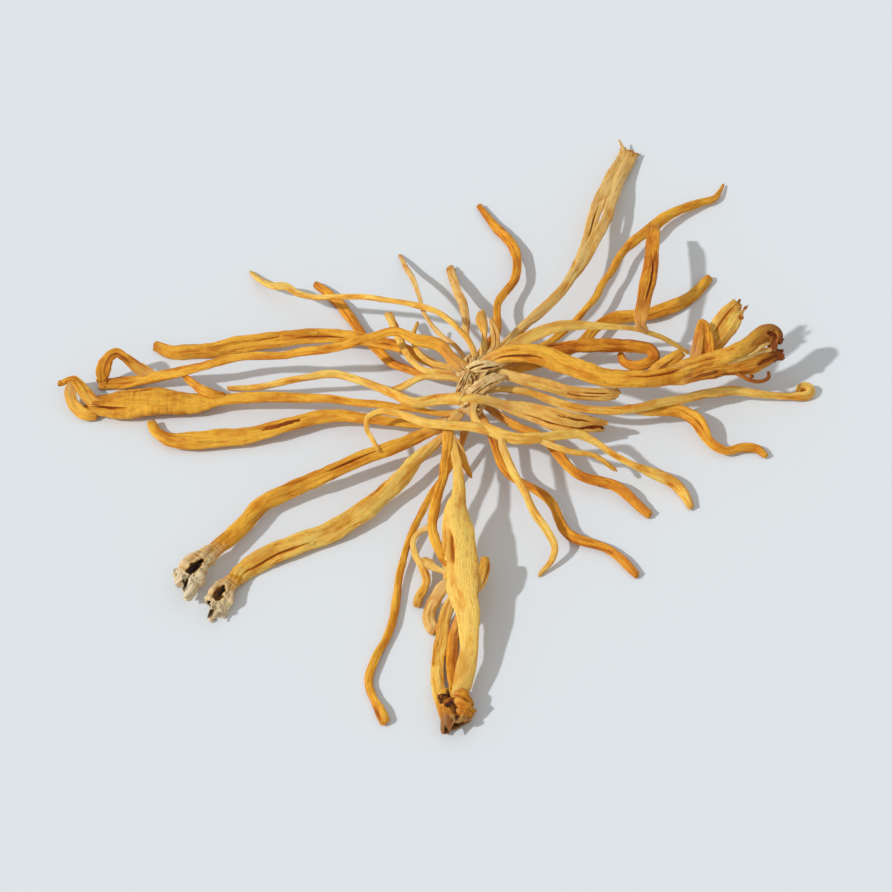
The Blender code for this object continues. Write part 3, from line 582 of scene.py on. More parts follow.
def skin_tone_and_shade(tone, sine, swell, edge, wrinkles, dip, creases, cuts, hollow):
    """The tone of each point, with paler edges, painted light on its top, lumps and wrinkles, painted
    shade in grooves, creases and on its underside, and deep painted shade inside slits and hollows.
    """
    tone_and_shade = (PLAIN_TONE + tone + PAINTED_TOP_LIGHT * sine + PAINTED_LUMP_LIGHT * swell + EDGE_LIGHT * edge
              + PAINTED_WRINKLE_LIGHT * wrinkles - GROOVE_SHADE * dip - CREASE_SHADE * np.minimum(creases, 1)
              - SLIT_SHADE * cuts)
    return np.clip(tone_and_shade, 0, 1) * (1 - HOLLOW_SHADE * hollow) - SLIT_DEEP_SHADE * cuts**2 - HOLLOW_DEEP_SHADE * hollow


def stem_marks(tone_and_shade, skin, length, open_skin, root_length, tip_length):
    """Tone with painted shade and light, nearness to the root and nearness to the tip, the last two only
    on open skin.

    Nearness to the root falls as 1.4 * e^(-skin / root_length), and nearness to the tip rises as
    (1 - way left / tip_length)^2.
    """
    root = np.minimum(ROOT_START * np.exp(-skin / root_length), 1) * open_skin
    end = np.clip(1 - (length - skin) / tip_length, 0, 1) ** 2 * open_skin
    return np.stack([tone_and_shade, root, end], -1)


print("marks: plain skin stands at", PLAIN_TONE)

# %% From rings to a closed mesh
def closed_mesh(rings, poles, straight, marks):
    """Points, faces and attributes of rings of points with a fan of triangles at each end."""
    count, sides, _ = rings.shape
    ring = np.arange(sides)
    after = np.roll(ring, -1)
    start = np.arange(count - 1)[:, None] * sides
    quads = np.stack([start + ring, start + after, start + sides + after, start + sides + ring], -1)
    first = np.stack([after, ring, np.full(sides, count * sides)], -1)
    last_ring = (count - 1) * sides
    last = np.stack([last_ring + ring, last_ring + after, np.full(sides, count * sides + 1)], -1)
    points = np.concatenate([rings.reshape(-1, 3), poles])
    values = [np.concatenate([v.reshape(-1, 3), v[0, :1], v[-1, :1]]) for v in (straight, marks)]
    return points, quads.reshape(-1, 4), np.concatenate([first, last]), *values


print("closed meshes: rings of quads, and a fan at both ends")

# %% The skin of a stem
TIP_STEP = 0.15                 # millimetres of pattern that each ring of a tip moves on
FEWEST_SIDES, SIDES_PER_MM = 9, 4.5     # half the sides of a section, and more for its width
SLIT_DRIFT = 0.25
SLIT_DEPTH = 0.42               # as a share of the section's radius
EDGE_POWER = 6                  # how sharply the two edges of a flat stem are told from its sides
EDGE_FIRMNESS = 0.6             # how much shallower the creases are there
INSIDE_SMOOTHNESS = 0.5         # how much fainter the patterns are inside a hollow tip
TEAR_CELLS, FINE_TEAR_CELLS = 9, 23
FINE_TEAR_SHARE = 0.5
FULL_GROOVE = 1 / 3             # a groove at least this deep is shaded in full
SPAN = 97                       # spreads the stems over the noise, in millimetres


def torn_edge(seed, share):
    """How far the rim of a tip is torn, all round it: coarse noise + 0.5 * fine noise."""
    coarse = lattice_noise(seed + 13, share, 0 * share, TEAR_CELLS, 1.0)
    fine = lattice_noise(seed + 15, share, 0 * share, FINE_TEAR_CELLS, 1.0)
    return coarse + FINE_TEAR_SHARE * fine


def stem_mesh(seed, route, face=LEANING, flat=0.62, twist=(0, 0), tip="round", groove=0.14,
              cells=6, crease=0.17, lumps=0.08, wander=0.16, flare=0.35, ragged=0.3, slits=(),
              wrinkle=0.012, fold=0.3, root_length=3.5, tip_length=4.0, tone=0.0, slant=0.0,
              step=STEP):
    """One stem: a flattened round carried along its route, with grooves, creases and lumps.

    Point = middle + across * w * r * cos(angle) + out * w * (flat * r * sin(angle) + fold *
    cos(angle)^2), where r = 1 - groove - creases + lumps + wrinkles - slits and w is half the
    width there. A tip moves on along the stem, raggedly, and slant moves one side of it further.
    """
    rows, run = smooth_route(route, step)
    spine, half, flats, folds = bend_and_swell(seed, rows, run, face, twist, wander, flare, flat, fold)
    on, size, inside = tip_profile(tip)
    more = len(on)
    thick = half[-1] * flats[-1]
    advance = np.concatenate([0 * run, on * thick])[:, None]
    hollow = np.concatenate([0 * run, inside])[:, None]
    sizes = np.concatenate([half, half[-1] * size])[:, None]
    flats = np.pad(flats, (0, more), "edge")[:, None]
    folds = np.pad(folds, (0, more))[:, None]
    middle, along, across, out = (np.pad(v, ((0, more), (0, 0)), "edge")[:, None] for v in spine)
    skin = np.concatenate([run, run[-1] + np.arange(1, more + 1) * TIP_STEP])[:, None]

    sides = 2 * int(FEWEST_SIDES + SIDES_PER_MM * rows[:, 3].max())
    share = (np.arange(sides) / sides)[None, :]
    cosine, sine = np.cos(share * 2 * math.pi), np.sin(share * 2 * math.pi)
    drift, dip, creases, swell, wrinkles = skin_patterns(seed, share, skin, cells)
    cuts = slit_depth(slits, share, skin, SLIT_DRIFT * drift, seed)
    edge = np.abs(cosine) ** EDGE_POWER
    r = (1 - groove * dip - crease * creases * (1 - EDGE_FIRMNESS * edge) + lumps * swell
         + wrinkle * wrinkles - SLIT_DEPTH * cuts)
    r = r + (1 - r) * INSIDE_SMOOTHNESS * hollow
    rim = np.sin(math.pi * np.clip(advance / max(advance.max(), 1e-6), 0, 1) * 0.5)
    torn = ragged * thick * rim * torn_edge(seed, share) + slant * half[-1] * rim * cosine
    rings = (middle + along * (advance + torn)[..., None]
             + across * (sizes * r * cosine)[..., None]
             + out * (sizes * flats * r * sine)[..., None]
             + out * (sizes * folds * cosine**2)[..., None])
    rings[..., 2] = np.maximum(rings[..., 2], 0)

    # Painted shade and painted light for the finish: grooves, creases and underside darker, top and lumps
    # lighter.
    shaded_dip = dip * min(groove / FULL_GROOVE, 1)
    tone_and_shade = skin_tone_and_shade(tone, sine, swell, edge, wrinkle * wrinkles, shaded_dip, creases, cuts, hollow)
    marks = stem_marks(tone_and_shade, skin, run[-1], (1 - cuts) * (1 - hollow), root_length, tip_length)
    straight = np.stack([sizes * cosine, sizes * flats * sine, skin + 0 * share + seed % SPAN], -1)
    poles = np.stack([middle[0, 0], rings[-1].mean(0)])
    return closed_mesh(rings, poles, straight, marks)


sample = stem_mesh(1, [(0, 0, 10, 2), (10, 0, 9, 2), (20, 0, 8, 2)])
print("skin: a stem of 20 mm has", len(sample[1]), "quads")

# %% [markdown]
# ## From arrays to pieces
#
# A piece is one mesh object, made of one skin or of many small ones, such as crumbs. The piece
# that stands for a solid of the packed model replaces it, and everything rides on the one body
# that the tuft is.

# %% From arrays to pieces
pieces = []


def make_piece(name, meshes, finish):
    """Joins meshes into one object with a finish, and hooks it into the frame."""
    points, faces, straight, marks = [], [], [], []
    start = 0
    for part_points, quads, triangles, part_straight, part_marks in meshes:
        points.append(part_points)
        faces += (quads + start).tolist() + (triangles + start).tolist()
        straight.append(part_straight)
        marks.append(part_marks)
        start += len(part_points)
    stands_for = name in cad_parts
    label = name + "_skin" if stands_for else name
    mesh = bpy.data.meshes.new(label)
    mesh.from_pydata((np.concatenate(points) * MM).tolist(), [], faces)
    mesh.shade_smooth()
    for key, values in (("straight", straight), ("marks", marks)):
        attribute = mesh.attributes.new(key, "FLOAT_VECTOR", "POINT")
        attribute.data.foreach_set("vector", np.concatenate(values).astype(np.float32).ravel())
    mesh.materials.append(finishes[finish])
    piece = bpy.data.objects.new(label, mesh)
    bpy.context.scene.collection.objects.link(piece)
    if stands_for:
        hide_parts(name)
    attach(piece, "root")
    pieces.append(piece)


print("pieces:", len(pieces), "so far")

# %% [markdown]
# ## Crumbs
#
# Crumbs of broken skin and small dark nubs sit on the base and on the torn tips. They could be
# scattered spheres, but these are lumpy closed balls of their own, and many share one mesh.

# %% Crumbs
CRUMB_SIDES = 26
CRUMB_RINGS = 18
CRUMB_END = 0.05                # radians between a crumb's pole and its first ring
CRUMB_NOISE = ((5, 2.2), (11, 0.9))     # cells and length of its large and its small bumps
SMALL_BUMP_SHARE = 0.6
FALL_LENGTH = 3                 # millimetres of noise for each radian from pole to pole
PAINTED_BUMP_LIGHT = 0.5                # how much lighter a bump is painted, as painted light on raised skin
NEAR_TIP = 0.55                 # tip crumbs lie where the mark of the tip is above this
TIP_CRUMB_ROUGHNESS = 0.4
TIP_CRUMB_SIZES = (0.5, 1.3)    # smallest and largest, as a share of the size asked for
TIP_CRUMB_FLATNESS = (0.6, 1.2)
TIP_CRUMB_LIGHTNESS = (0.2, 0.8)


def crumb_mesh(seed, place, size, flat, rough, lightness, end=0.0):
    """A lumpy ball: r = size / 2 * (1 + rough * noise), at an angle round it and a fall from its pole.

    Point = place + r * (sin(fall) cos(angle), -sin(fall) sin(angle), flat * cos(fall)).
    """
    share = (np.arange(CRUMB_SIDES) / CRUMB_SIDES)[None, :]
    fall = np.linspace(CRUMB_END, math.pi - CRUMB_END, CRUMB_RINGS)[:, None]
    angle = share * 2 * math.pi
    level = np.sin(fall)
    large, small = (lattice_noise(seed + i, share, fall * FALL_LENGTH, cells, length)
                    for i, (cells, length) in enumerate(CRUMB_NOISE))
    bumps = large + SMALL_BUMP_SHARE * small
    r = size / 2 * (1 + rough * bumps * level)
    middle = np.array(place, dtype=float) - FRAME_ORIGIN
    rings = np.stack([middle[0] + r * level * np.cos(angle), middle[1] - r * level * np.sin(angle),
                      np.maximum(middle[2] + r * flat * np.cos(fall), 0) + 0 * angle], -1)
    # Its own tone, lighter on its bumps as painted light.
    tone_and_shade = np.clip(lightness + PAINTED_BUMP_LIGHT * bumps * level, 0, 1) + 0 * angle
    marks = np.stack([tone_and_shade, 0 * tone_and_shade, 0 * tone_and_shade + end], -1)
    poles = np.stack([rings[0].mean(0), rings[-1].mean(0)])
    return closed_mesh(rings, poles, rings - middle + seed % SPAN, marks)


def crumbs_at(seed, rough, spots):
    """A crumb at each spot, which is its place, size, flatness and lightness."""
    return [crumb_mesh(seed + i, place, size, flat, rough, lightness)
            for i, (place, size, flat, lightness) in enumerate(spots)]


def tip_crumbs(seed, mesh, number, size):
    """Crumbs centred on points of the skin close to the tip of a stem."""
    chance = np.random.default_rng(seed)
    points, marks = mesh[0], mesh[4]
    near = points[marks[:, 2] > NEAR_TIP] + FRAME_ORIGIN
    places = near[chance.integers(0, len(near), number)]
    sizes = size * chance.uniform(*TIP_CRUMB_SIZES, number)
    return [crumb_mesh(seed + i, place, width, chance.uniform(*TIP_CRUMB_FLATNESS), TIP_CRUMB_ROUGHNESS,
                       chance.uniform(*TIP_CRUMB_LIGHTNESS), end=1.0)
            for i, (place, width) in enumerate(zip(places, sizes))]


print("crumbs: a ball of", CRUMB_SIDES, "by", CRUMB_RINGS)

# %% [markdown]
# ## Peeling skin, and a stem in one call
#
# Thin strips of skin peel off some stems along an edge and lift at one end. Each is a stem in
# small, on a route that is picked from its parent's. With them, one call makes a whole stem: its
# skin, its crumbs and its peels, joined into one piece, with its root noted for the base.

# %% Peeling skin, and a stem in one call
PEEL_STEP = 1.0                 # millimetres between the points of a strip
PEEL_SPREAD = 31                # keeps the seeds of neighbouring strips apart
PEEL_POINTS = (6, 13)           # points of the parent's route that a strip runs along
PEEL_START = 3                  # points that stay free at the root
PEEL_SIDES = (0.3, 0.75)        # how far it lies to one side, as a share of the half width
PEEL_FLAT_END = 0.6             # how high its two ends lie, as shares of the parent's own height
PEEL_FREE_END = 0.9
PEEL_RISE = 0.2                 # what chance adds to the height of the free end
PEEL_WIDTH = 0.35               # as a share of the parent's half width
PEEL_WIDTHS = (0.3, 0.8)        # and never below or above these, in millimetres
PEEL_TONES = (-0.1, 0.25)


def slivers(seed, route, number, face=LEANING, flat=0.62):
    """Thin strips of skin that peel off a stem, along one of its edges, and lift at one end.

    Point = parent's route + across * side * w + out * sqrt(1 - side^2) * flat * w * lift, where
    w is half the parent's width there.
    """
    chance = np.random.default_rng(seed)
    rows, run = smooth_route(route, PEEL_STEP)
    across, out = frames_along(rows[:, :3], face, 0 * run)[1:]
    meshes = []
    for i in range(number):
        length = int(chance.integers(*PEEL_POINTS))
        last_start = max(len(rows) - length - 2, PEEL_START + 1)
        first = int(chance.integers(PEEL_START, last_start))
        picked = slice(first, first + length, 2)
        half = rows[picked, 3:] / 2
        side = chance.choice([-1, 1]) * chance.uniform(*PEEL_SIDES)
        free_end = PEEL_FREE_END + chance.uniform(0, PEEL_RISE)
        lift = np.linspace(PEEL_FLAT_END, free_end, len(half))[:, None]
        if chance.random() < 0.5:
            lift = lift[::-1]
        rise = np.sqrt(1 - side**2) * flat * half * lift
        points = rows[picked, :3] + across[picked] * side * half + out[picked] * rise
        width = np.clip(half * PEEL_WIDTH, *PEEL_WIDTHS)
        strip = np.hstack([points + FRAME_ORIGIN, width])
        meshes.append(stem_mesh(seed + PEEL_SPREAD * i, strip, tip="point", flat=0.3, flare=0, wander=0.1,
                                face=face, root_length=0.1, tone=chance.uniform(*PEEL_TONES)))
    return meshes


roots = []


def stem(name, route, finish="golden", rooted=True, crumbs=0, crumb_size=0.7, peeling=0, extras=(),
         **shape):
    """One stem as a piece of its own. A rooted one also gets a strand over the base later."""
    if rooted:
        roots.append(route[:4])
    else:
        shape.setdefault("flare", 0.0)
    seed = name_seed(name)
    mesh = stem_mesh(seed, route, **shape)
    meshes = [mesh, *extras] + tip_crumbs(seed, mesh, crumbs, crumb_size)
    flat_side = {key: shape[key] for key in ("face", "flat") if key in shape}
    make_piece(name, meshes + slivers(seed, route, peeling, **flat_side), finish)


def count_pieces(title):
    """Prints how many pieces there are after a cell."""
    print(title + ":", len(pieces), "pieces so far")


print("stems: none yet, and", len(roots), "roots")

# %% [markdown]
# ## The arched stem to the left
#
# The highest stem on the left rises from the base, arches over and ends in a crumpled curl. A
# curl could be bent with a modifier, but only a route of its own that turns back on itself can
# follow the loop that the skin dried into. A short stem beside it has broken off as a cup.

# %% The arched stem, its curl and the short stem
stem("stem_left_long", [
    (0, 1, 13.5, 2.4), (-4, 3, 15.5, 2.8), (-9.5, 8, 16.5, 3), (-14, 9.5, 16.5, 2.8),
    (-20, 12.5, 16, 2.2), (-26.5, 11.5, 15, 2.1), (-38, 9.5, 12.5, 2.1), (-52, 10, 10, 2.2),
    (-62.5, 10, 8.5, 2.3), (-70, 8.5, 7, 2.4), (-78, 8, 4.5, 2.8), (-86, 8, 2.2, 3.1),
    (-92, 8, 1.4, 3.1), (-96, 7.5, 1.2, 2.6)], twist=(0, 35), wander=0.3, tip="blunt", crumbs=5,
    crumb_size=0.6)
stem("curl_left_long", [
    (-81, 8.6, 2.6, 1.8), (-84.4, 9.8, 4, 2.7), (-87.6, 10.8, 6.2, 3), (-89.8, 11.5, 7.9, 2.8),
    (-91.6, 12.2, 8.5, 2.6), (-93.2, 11.4, 8.2, 3), (-94.4, 10.2, 6.8, 3.7), (-95.2, 9.2, 4.9, 3.8),
    (-95.6, 8.6, 3.2, 3), (-96, 8, 2.1, 2)], rooted=False, flat=0.4, crease=0.32, wander=0.2,
    lumps=0.26, cells=8, crumbs=9, crumb_size=0.9, tip="blunt", slits=[(0.25, 8, 17)])
stem("stem_left_short", [
    (0, -0.5, 12, 1.6), (-8, 0, 13.2, 1.5), (-12.5, 0.5, 13, 1.5), (-16, -0.5, 12, 1.6),
    (-18.5, -1.5, 11, 1.8), (-21, -2, 10.2, 1.6)], "pale", tip="cup")
count_pieces("arched stem")

# %% [markdown]
# ## The club and its curls
#
# The longest stem on the left broadens to a folded club, split along both sides, with two curls
# at its end like feelers. Its widest part is four times its neck, which is only a matter of the
# widths in its route. A small spur leaves its neck and leans over to the arched stem.

# %% The club, its spur and its two curls
spur = stem_mesh(31, [
    (-63.3, 1.3, 4.2, 1.4), (-66.3, 1.3, 4.6, 2.1), (-69, 2.3, 5, 2.3), (-71.5, 4.4, 5.2, 2),
    (-73.5, 6.4, 5, 1.6), (-74.3, 7.2, 4.8, 1)], flat=0.45, tone=-0.2, crease=0.25, wander=0.1,
    root_length=0.1)
stem("stem_left_club", [
    (-1, -8, 10, 1.8), (-6, -8.5, 8.8, 1.7), (-16, -6, 8, 1.8), (-28, -3.5, 7, 2.2),
    (-42.5, -0.8, 6, 2.5), (-56, 0.4, 4.5, 3.3), (-64, 0.6, 3.5, 4), (-71, 0.6, 2.6, 6.4),
    (-79, 0.5, 2.2, 8.1), (-86, 0.2, 2.1, 8.5), (-92, 0, 2, 8.2), (-97, 0.3, 1.9, 6)], flat=0.5,
    groove=0.05, face=UP, cells=9, crease=0.06, lumps=0.02, wander=0.2, tone=0.08, wrinkle=0.03,
    ragged=0.6, tip_length=9, slits=[(0.42, 60, 103), (0.15, 88, 103)], extras=[spur])
stem("curl_club_upper", [
    (-91, -1.2, 1.9, 1.8), (-94.5, -0.9, 2.4, 3), (-97.5, 1, 2.8, 3.2), (-99.5, 3, 3.2, 3.1),
    (-101.4, 5.4, 3.9, 2.8), (-102.8, 6.7, 4.3, 2.4), (-104, 6.6, 4.1, 2), (-105.4, 6.2, 3.6, 2),
    (-106.4, 6.1, 3.3, 1.9)], rooted=False, flat=0.42, crumbs=4, crumb_size=0.6, tip="blunt",
    crease=0.3, lumps=0.16, twist=(0, 30), wander=0.05)
stem("curl_club_lower", [
    (-102.5, 5.9, 4, 2.2), (-103.2, 4.2, 3.5, 2.8), (-102.8, 1.7, 2.8, 2.9), (-101.2, -1, 2.1, 3),
    (-98.9, -2.7, 1.7, 3), (-96.4, -2.9, 1.5, 2.3)], rooted=False, flat=0.42, crumbs=6, crumb_size=0.6,
    tip="blunt", crease=0.3, lumps=0.16, wander=0.05)
count_pieces("club")

# %% [markdown]
# ## Thin stems to the left
#
# One stem starts to the right of the base, crosses over its lower edge and runs far to the left.
# Two short twins go up to the left. They are thin enough that wander, more than creases, gives
# them life.

# %% The crossing-over stem and the twins
stem("stem_left_lower", [
    (8.4, -7.9, 11.3, 1), (5.6, -7.8, 12.5, 1.7), (3, -7.7, 13.5, 2.2), (-0.5, -7.5, 14.1, 2.6),
    (-4.5, -7.2, 13.6, 2.8), (-8.5, -6.8, 12.6, 2.8), (-16, -7, 12, 2.6), (-20, -4.5, 11.5, 2.3),
    (-24.5, -1, 11, 2.2), (-29.5, 1.5, 10.5, 2), (-34, 3.5, 10, 2), (-44, 4, 8, 1.9), (-50, 4, 6, 1.8),
    (-56, 4.8, 3.6, 1.6), (-63, 6.5, 0.9, 1.3)], "pale", twist=(0, -30), wander=0.25, flare=0)
stem("stem_left_twin_long", [
    (-1, 3.5, 10.5, 1.4), (-7, 4, 10.3, 1.5), (-13, 5.5, 9.5, 1.5), (-16, 9, 9, 1.5),
    (-18, 14, 8.5, 1.7), (-20, 20.5, 8, 2.3), (-22, 26, 7.5, 2)], "pale", tip="blunt")
stem("stem_left_twin_short", [
    (-1, 5, 9.5, 1.2), (-6.5, 6.5, 9.3, 1.3), (-11.5, 9, 8.8, 1.3), (-14.2, 12.5, 8.4, 1.3),
    (-15.6, 17.5, 8, 1.3), (-14.5, 23, 7.5, 0.9)], "pale", tip="point")
count_pieces("thin stems")

# %% [markdown]
# ## The layer below
#
# Three more stems lie deeper on the left: a smooth band whose end curls up and whose skin has a
# torn hole, a broad one with long slits, and a thin one that runs to the upper left. Hole and
# slits are pressed into the skin, so that nothing has to be cut.

# %% The band, the broad stem above it and the diagonal one
stem("stem_left_band", [
    (-5.6, -8.4, 6.4, 2), (-12.4, -8.9, 5.4, 2.3), (-20, -7.6, 4.6, 2.5), (-27.6, -5.9, 4, 2.8),
    (-35.2, -4.6, 3.6, 3.3), (-44.1, -6.5, 3.2, 3.8), (-53.6, -9.3, 2.6, 4.3), (-62.9, -10.9, 2.2, 4.6),
    (-71.7, -11.6, 1.9, 4.6), (-77.9, -10.7, 1.9, 3.8), (-80.8, -8.1, 1.9, 2.8), (-82, -5.5, 1.9, 2)],
    flat=0.5, crease=0.08, groove=0.08, wander=0.3, face=UP, cells=8, lumps=0.04, peeling=2, tone=0.1,
    wrinkle=0.02, slits=[(0.26, 38, 49, 0.05), (0.31, 36, 52)])
stem("stem_left_upper", [
    (-5.6, 6.7, 8, 1.8), (-12, 11.5, 6.2, 2.2), (-19.4, 16.8, 5.2, 2.7), (-29.3, 20, 4.8, 3.2),
    (-40.7, 21.6, 4, 3.7), (-52.2, 21, 3, 4), (-62.5, 19.4, 2.2, 4), (-71.5, 18.2, 1.8, 3.8),
    (-79, 18.6, 1.7, 3.3), (-82.8, 20, 1.8, 2.6)], flat=0.5, tip="blunt", wander=0.3, cells=9,
    peeling=3, slits=[(0.22, 30, 45), (0.34, 48, 66)])
stem("stem_left_diagonal", [
    (-6, 4.8, 8, 1.5), (-12.4, 7.1, 5.8, 1.8), (-18.9, 11, 4.2, 2.1), (-24.7, 17, 3, 2.3),
    (-29.8, 25, 2, 2.5), (-34, 32.7, 1.5, 2.7), (-37.9, 38.6, 1.3, 2.5), (-41.7, 42.1, 1, 1.9)],
    "orange", wander=0.3)
count_pieces("left")

# %% [markdown]
# ## Thin stems behind the base
#
# Behind the base a long thin stem arches to the left, and two more run straight back. Where one
# of them ends in a point, the profile of its tip draws that out, so the route can stop short.

# %% Three thin stems behind the base
stem("stem_up_left_long", [
    (0.5, 2.5, 13, 1.3), (-1, 8.5, 16, 1.4), (-4.5, 13, 17.5, 1.4), (-10, 19, 17, 1.5),
    (-19, 23, 15.5, 1.5), (-33.5, 29, 11, 1.6), (-42, 31.5, 8, 1.6), (-46, 34, 6.4, 1.9),
    (-50, 38, 4.6, 2.3), (-53, 39.3, 3.4, 2.3), (-56, 42, 2.2, 2.1), (-59, 46.5, 0.8, 1.3)], "pale",
    tip="point", twist=(0, 60), wander=0.25)
stem("stem_up_short", [
    (0, 4, 11.5, 1.4), (0, 9.5, 11.5, 1.4), (-2, 16, 11, 1.6), (-2, 22.5, 9.5, 2.1),
    (-2.5, 29.5, 7.3, 2.3), (-4, 36, 5, 2.3), (-5, 42, 3, 2.2), (-6, 47.5, 1.2, 2)], "beige", tip="cup",
    ragged=1.2, crumbs=4, crumb_size=0.5)
stem("stem_up_left_thin", [
    (-1, 4, 12.5, 1.1), (-5, 11, 12.6, 1.2), (-8.5, 14.5, 12.6, 1.2), (-13, 24, 11, 1.1),
    (-14, 30.5, 9.5, 1.1), (-15.5, 37, 7.4, 1.4), (-17.5, 45, 4.2, 1.5), (-19.5, 53, 0.7, 0.9)],
    "beige", tip="point")
count_pieces("thin stems behind")

# %% [markdown]
# ## Two stubs
#
# Two stubs stand up behind the base. One has a round head, so it is hardly flattened at all. The
# other is a dry flat flap with a slit.

# %% The two stubs
stem("stub_round_head", [
    (2, 5, 11.5, 1.7), (2.6, 10, 11.6, 1.7), (2.6, 15.5, 12, 1.5), (2.3, 17.5, 12.3, 2.2),
    (2, 19.5, 12.6, 2.6), (2, 21, 12.8, 2.2)], "pale", flat=0.9, groove=0.05)
stem("stub_flat", [
    (3.4, 6, 12.6, 1.6), (5.4, 11, 13.2, 2.2), (5.2, 14.5, 14.2, 2), (4.5, 17.5, 15, 1.2)], "beige",
    flat=0.4, tip="point", slits=[(0.27, 3, 12)], crease=0.25)
count_pieces("stubs")

# %% [markdown]
# ## The ribbed stem
#
# The longest stem behind the base is pale and has two ribs with a brown gap between them, where
# it split. Each rib is a stem of its own and both are joined in one piece, because a groove as
# deep as the stem is thick can't be pressed into one skin. Its hollow tip has a small horn.

# %% The ribbed stem
left_rib = [
    (2.5, 6, 10, 1.6), (6.5, 12.5, 9.2, 1.9), (10.5, 17.5, 9, 2.2), (15.5, 23.5, 9, 2.5),
    (21.5, 30.5, 9, 2.6), (27.2, 41.6, 8, 2.6), (31.2, 55.3, 6.3, 2.9), (33, 63.4, 5.6, 3.2),
    (35.6, 71.4, 4.6, 3.4), (38.2, 79.4, 3.4, 3.3), (41.2, 86.3, 2.2, 3), (43, 91.4, 1.6, 2.9)]
right_rib = [
    (22.6, 33, 8.6, 1.2), (28.4, 42.5, 7.8, 2.5), (33, 54.4, 6.2, 3), (36.2, 62, 5.4, 2.8),
    (38.2, 70, 4.6, 2.9), (40.4, 78.4, 3.3, 3.3), (43.2, 85.4, 2.2, 3.3), (45, 90.6, 1.6, 3.1)]
ribs = dict(flat=0.45, groove=0.2, tip="cup", crease=0.12, lumps=0.03, wander=0.1, ragged=0.9, tone=0.12)
roots.append(left_rib[:4])
left_half = stem_mesh(81, left_rib, slits=[(0.3, 50, 70)], **ribs)
right_half = stem_mesh(82, right_rib, flare=0, **ribs)
horn = stem_mesh(83, [(42.4, 90.6, 2, 1), (42, 92.6, 2.6, 0.7), (41.3, 94.2, 3.2, 0.4)], tip="point")
rib_crumbs = tip_crumbs(84, left_half, 6, 0.7) + tip_crumbs(85, right_half, 5, 0.7)
peels = slivers(86, left_rib, 2, flat=0.45)
make_piece("stem_up_right_ribbed", [left_half, right_half, horn] + rib_crumbs + peels, "beige")
count_pieces("ribbed stem")

# %% [markdown]
# ## The pale stem and the hook
#
# In front of the ribbed stem runs a smooth pale one, which carries a fork that stands upright
# and has split down its middle. Behind both, a long stem ends in a thin hook, which is only the
# last points of its route turning aside and growing thin.

# %% The pale stem, its upright fork and the hook
stem("stem_up_right_pale", [
    (3, 4, 12.8, 1.8), (8.2, 8.6, 13.4, 2.8), (14.5, 13, 14, 3), (22.5, 16, 14.5, 2.6),
    (30, 17, 13.4, 1.8), (38, 18, 11.5, 1.3), (49, 19, 6.5, 1.3), (56, 18.5, 0.9, 1)], "pale",
    flat=0.45, groove=0.15, tone=0.26)
stem("pale_fork_upright", [
    (45, 18.4, 8.6, 1.2), (43, 19.6, 11.4, 2.6), (43.9, 26, 12.8, 3.9), (45.6, 33.1, 12.8, 4.2),
    (46.8, 41.6, 12, 3.7), (47.8, 49, 11, 3.5), (48.5, 54.6, 10, 3)], "orange", rooted=False, flat=0.5,
    tip="blunt", slits=[(0.3, 8, 26)])
stem("stem_up_right_hook", [
    (6.7, 9.4, 8, 1.5), (12.6, 13, 6.6, 1.8), (20, 18, 5.8, 1.8), (26.6, 25.4, 5.4, 1.8),
    (32.4, 35, 5, 1.9), (36.6, 43.4, 4.6, 1.9), (40, 50.4, 4.4, 2.2), (45.2, 56.9, 4, 2.7),
    (50.1, 62.5, 3.6, 3), (56.8, 68.1, 2.8, 2.5), (62.5, 71.5, 2, 2.2), (66.5, 73.6, 1.4, 1.7),
    (68.4, 76.4, 1.2, 1.1), (69.4, 78.9, 1, 0.8)], tip="point", wander=0.3)
count_pieces("behind")

# %% [markdown]
# ## The broad stem and its lobes
#
# A broad stem with a deep groove goes to the right and splits at its end into two hollow lobes
# with dark, singed lips. Their pale inner edges show between them, and a small dark curl hangs
# below. Lobes and stem overlap for a good way, so that the fork grows out of the stem.

# %% The broad stem
stem("stem_right_broad", [
    (0.5, 2, 14, 2.4), (3.8, 3.2, 15.8, 3.2), (8.5, 4, 17.6, 4.2), (14, 4, 18, 4.5), (22, 1.5, 17, 4.5),
    (31.5, -2, 16, 4.5), (41, -2.2, 15.2, 4.3), (49.5, -0.5, 14.5, 4.3), (54.5, 1.8, 14, 3.4),
    (58.5, 3.8, 13.7, 1.8)], flat=0.55, groove=0.16, cells=7, tip="point", crease=0.14, wrinkle=0.03,
    slits=[(0.3, 3, 19), (0.2, 40, 60)], flare=0.1, peeling=2, tone=0.04)
stem("broad_lobe_upper", [
    (45, -0.8, 14.8, 2.4), (53, 1.9, 14.8, 3.5), (60.2, 4.6, 14.6, 3.6), (63.1, 5.8, 14.7, 3.5),
    (66, 7.2, 14.8, 3.4), (69.7, 9.4, 14.8, 3.6), (72.4, 11.6, 14.8, 4.2), (74.3, 13, 14.6, 4.6),
    (76.2, 13.2, 13.8, 4.4), (76.8, 12, 12.9, 3.6)], "singed", rooted=False, flat=0.72, tip="mouth",
    ragged=0.6, face=(0.1, -0.5, 0.8), crumbs=4, crumb_size=0.8, fold=0.1, lumps=0.2, crease=0.3,
    tip_length=22, slits=[(0.28, 32, 37, 0.07)])
count_pieces("broad stem")

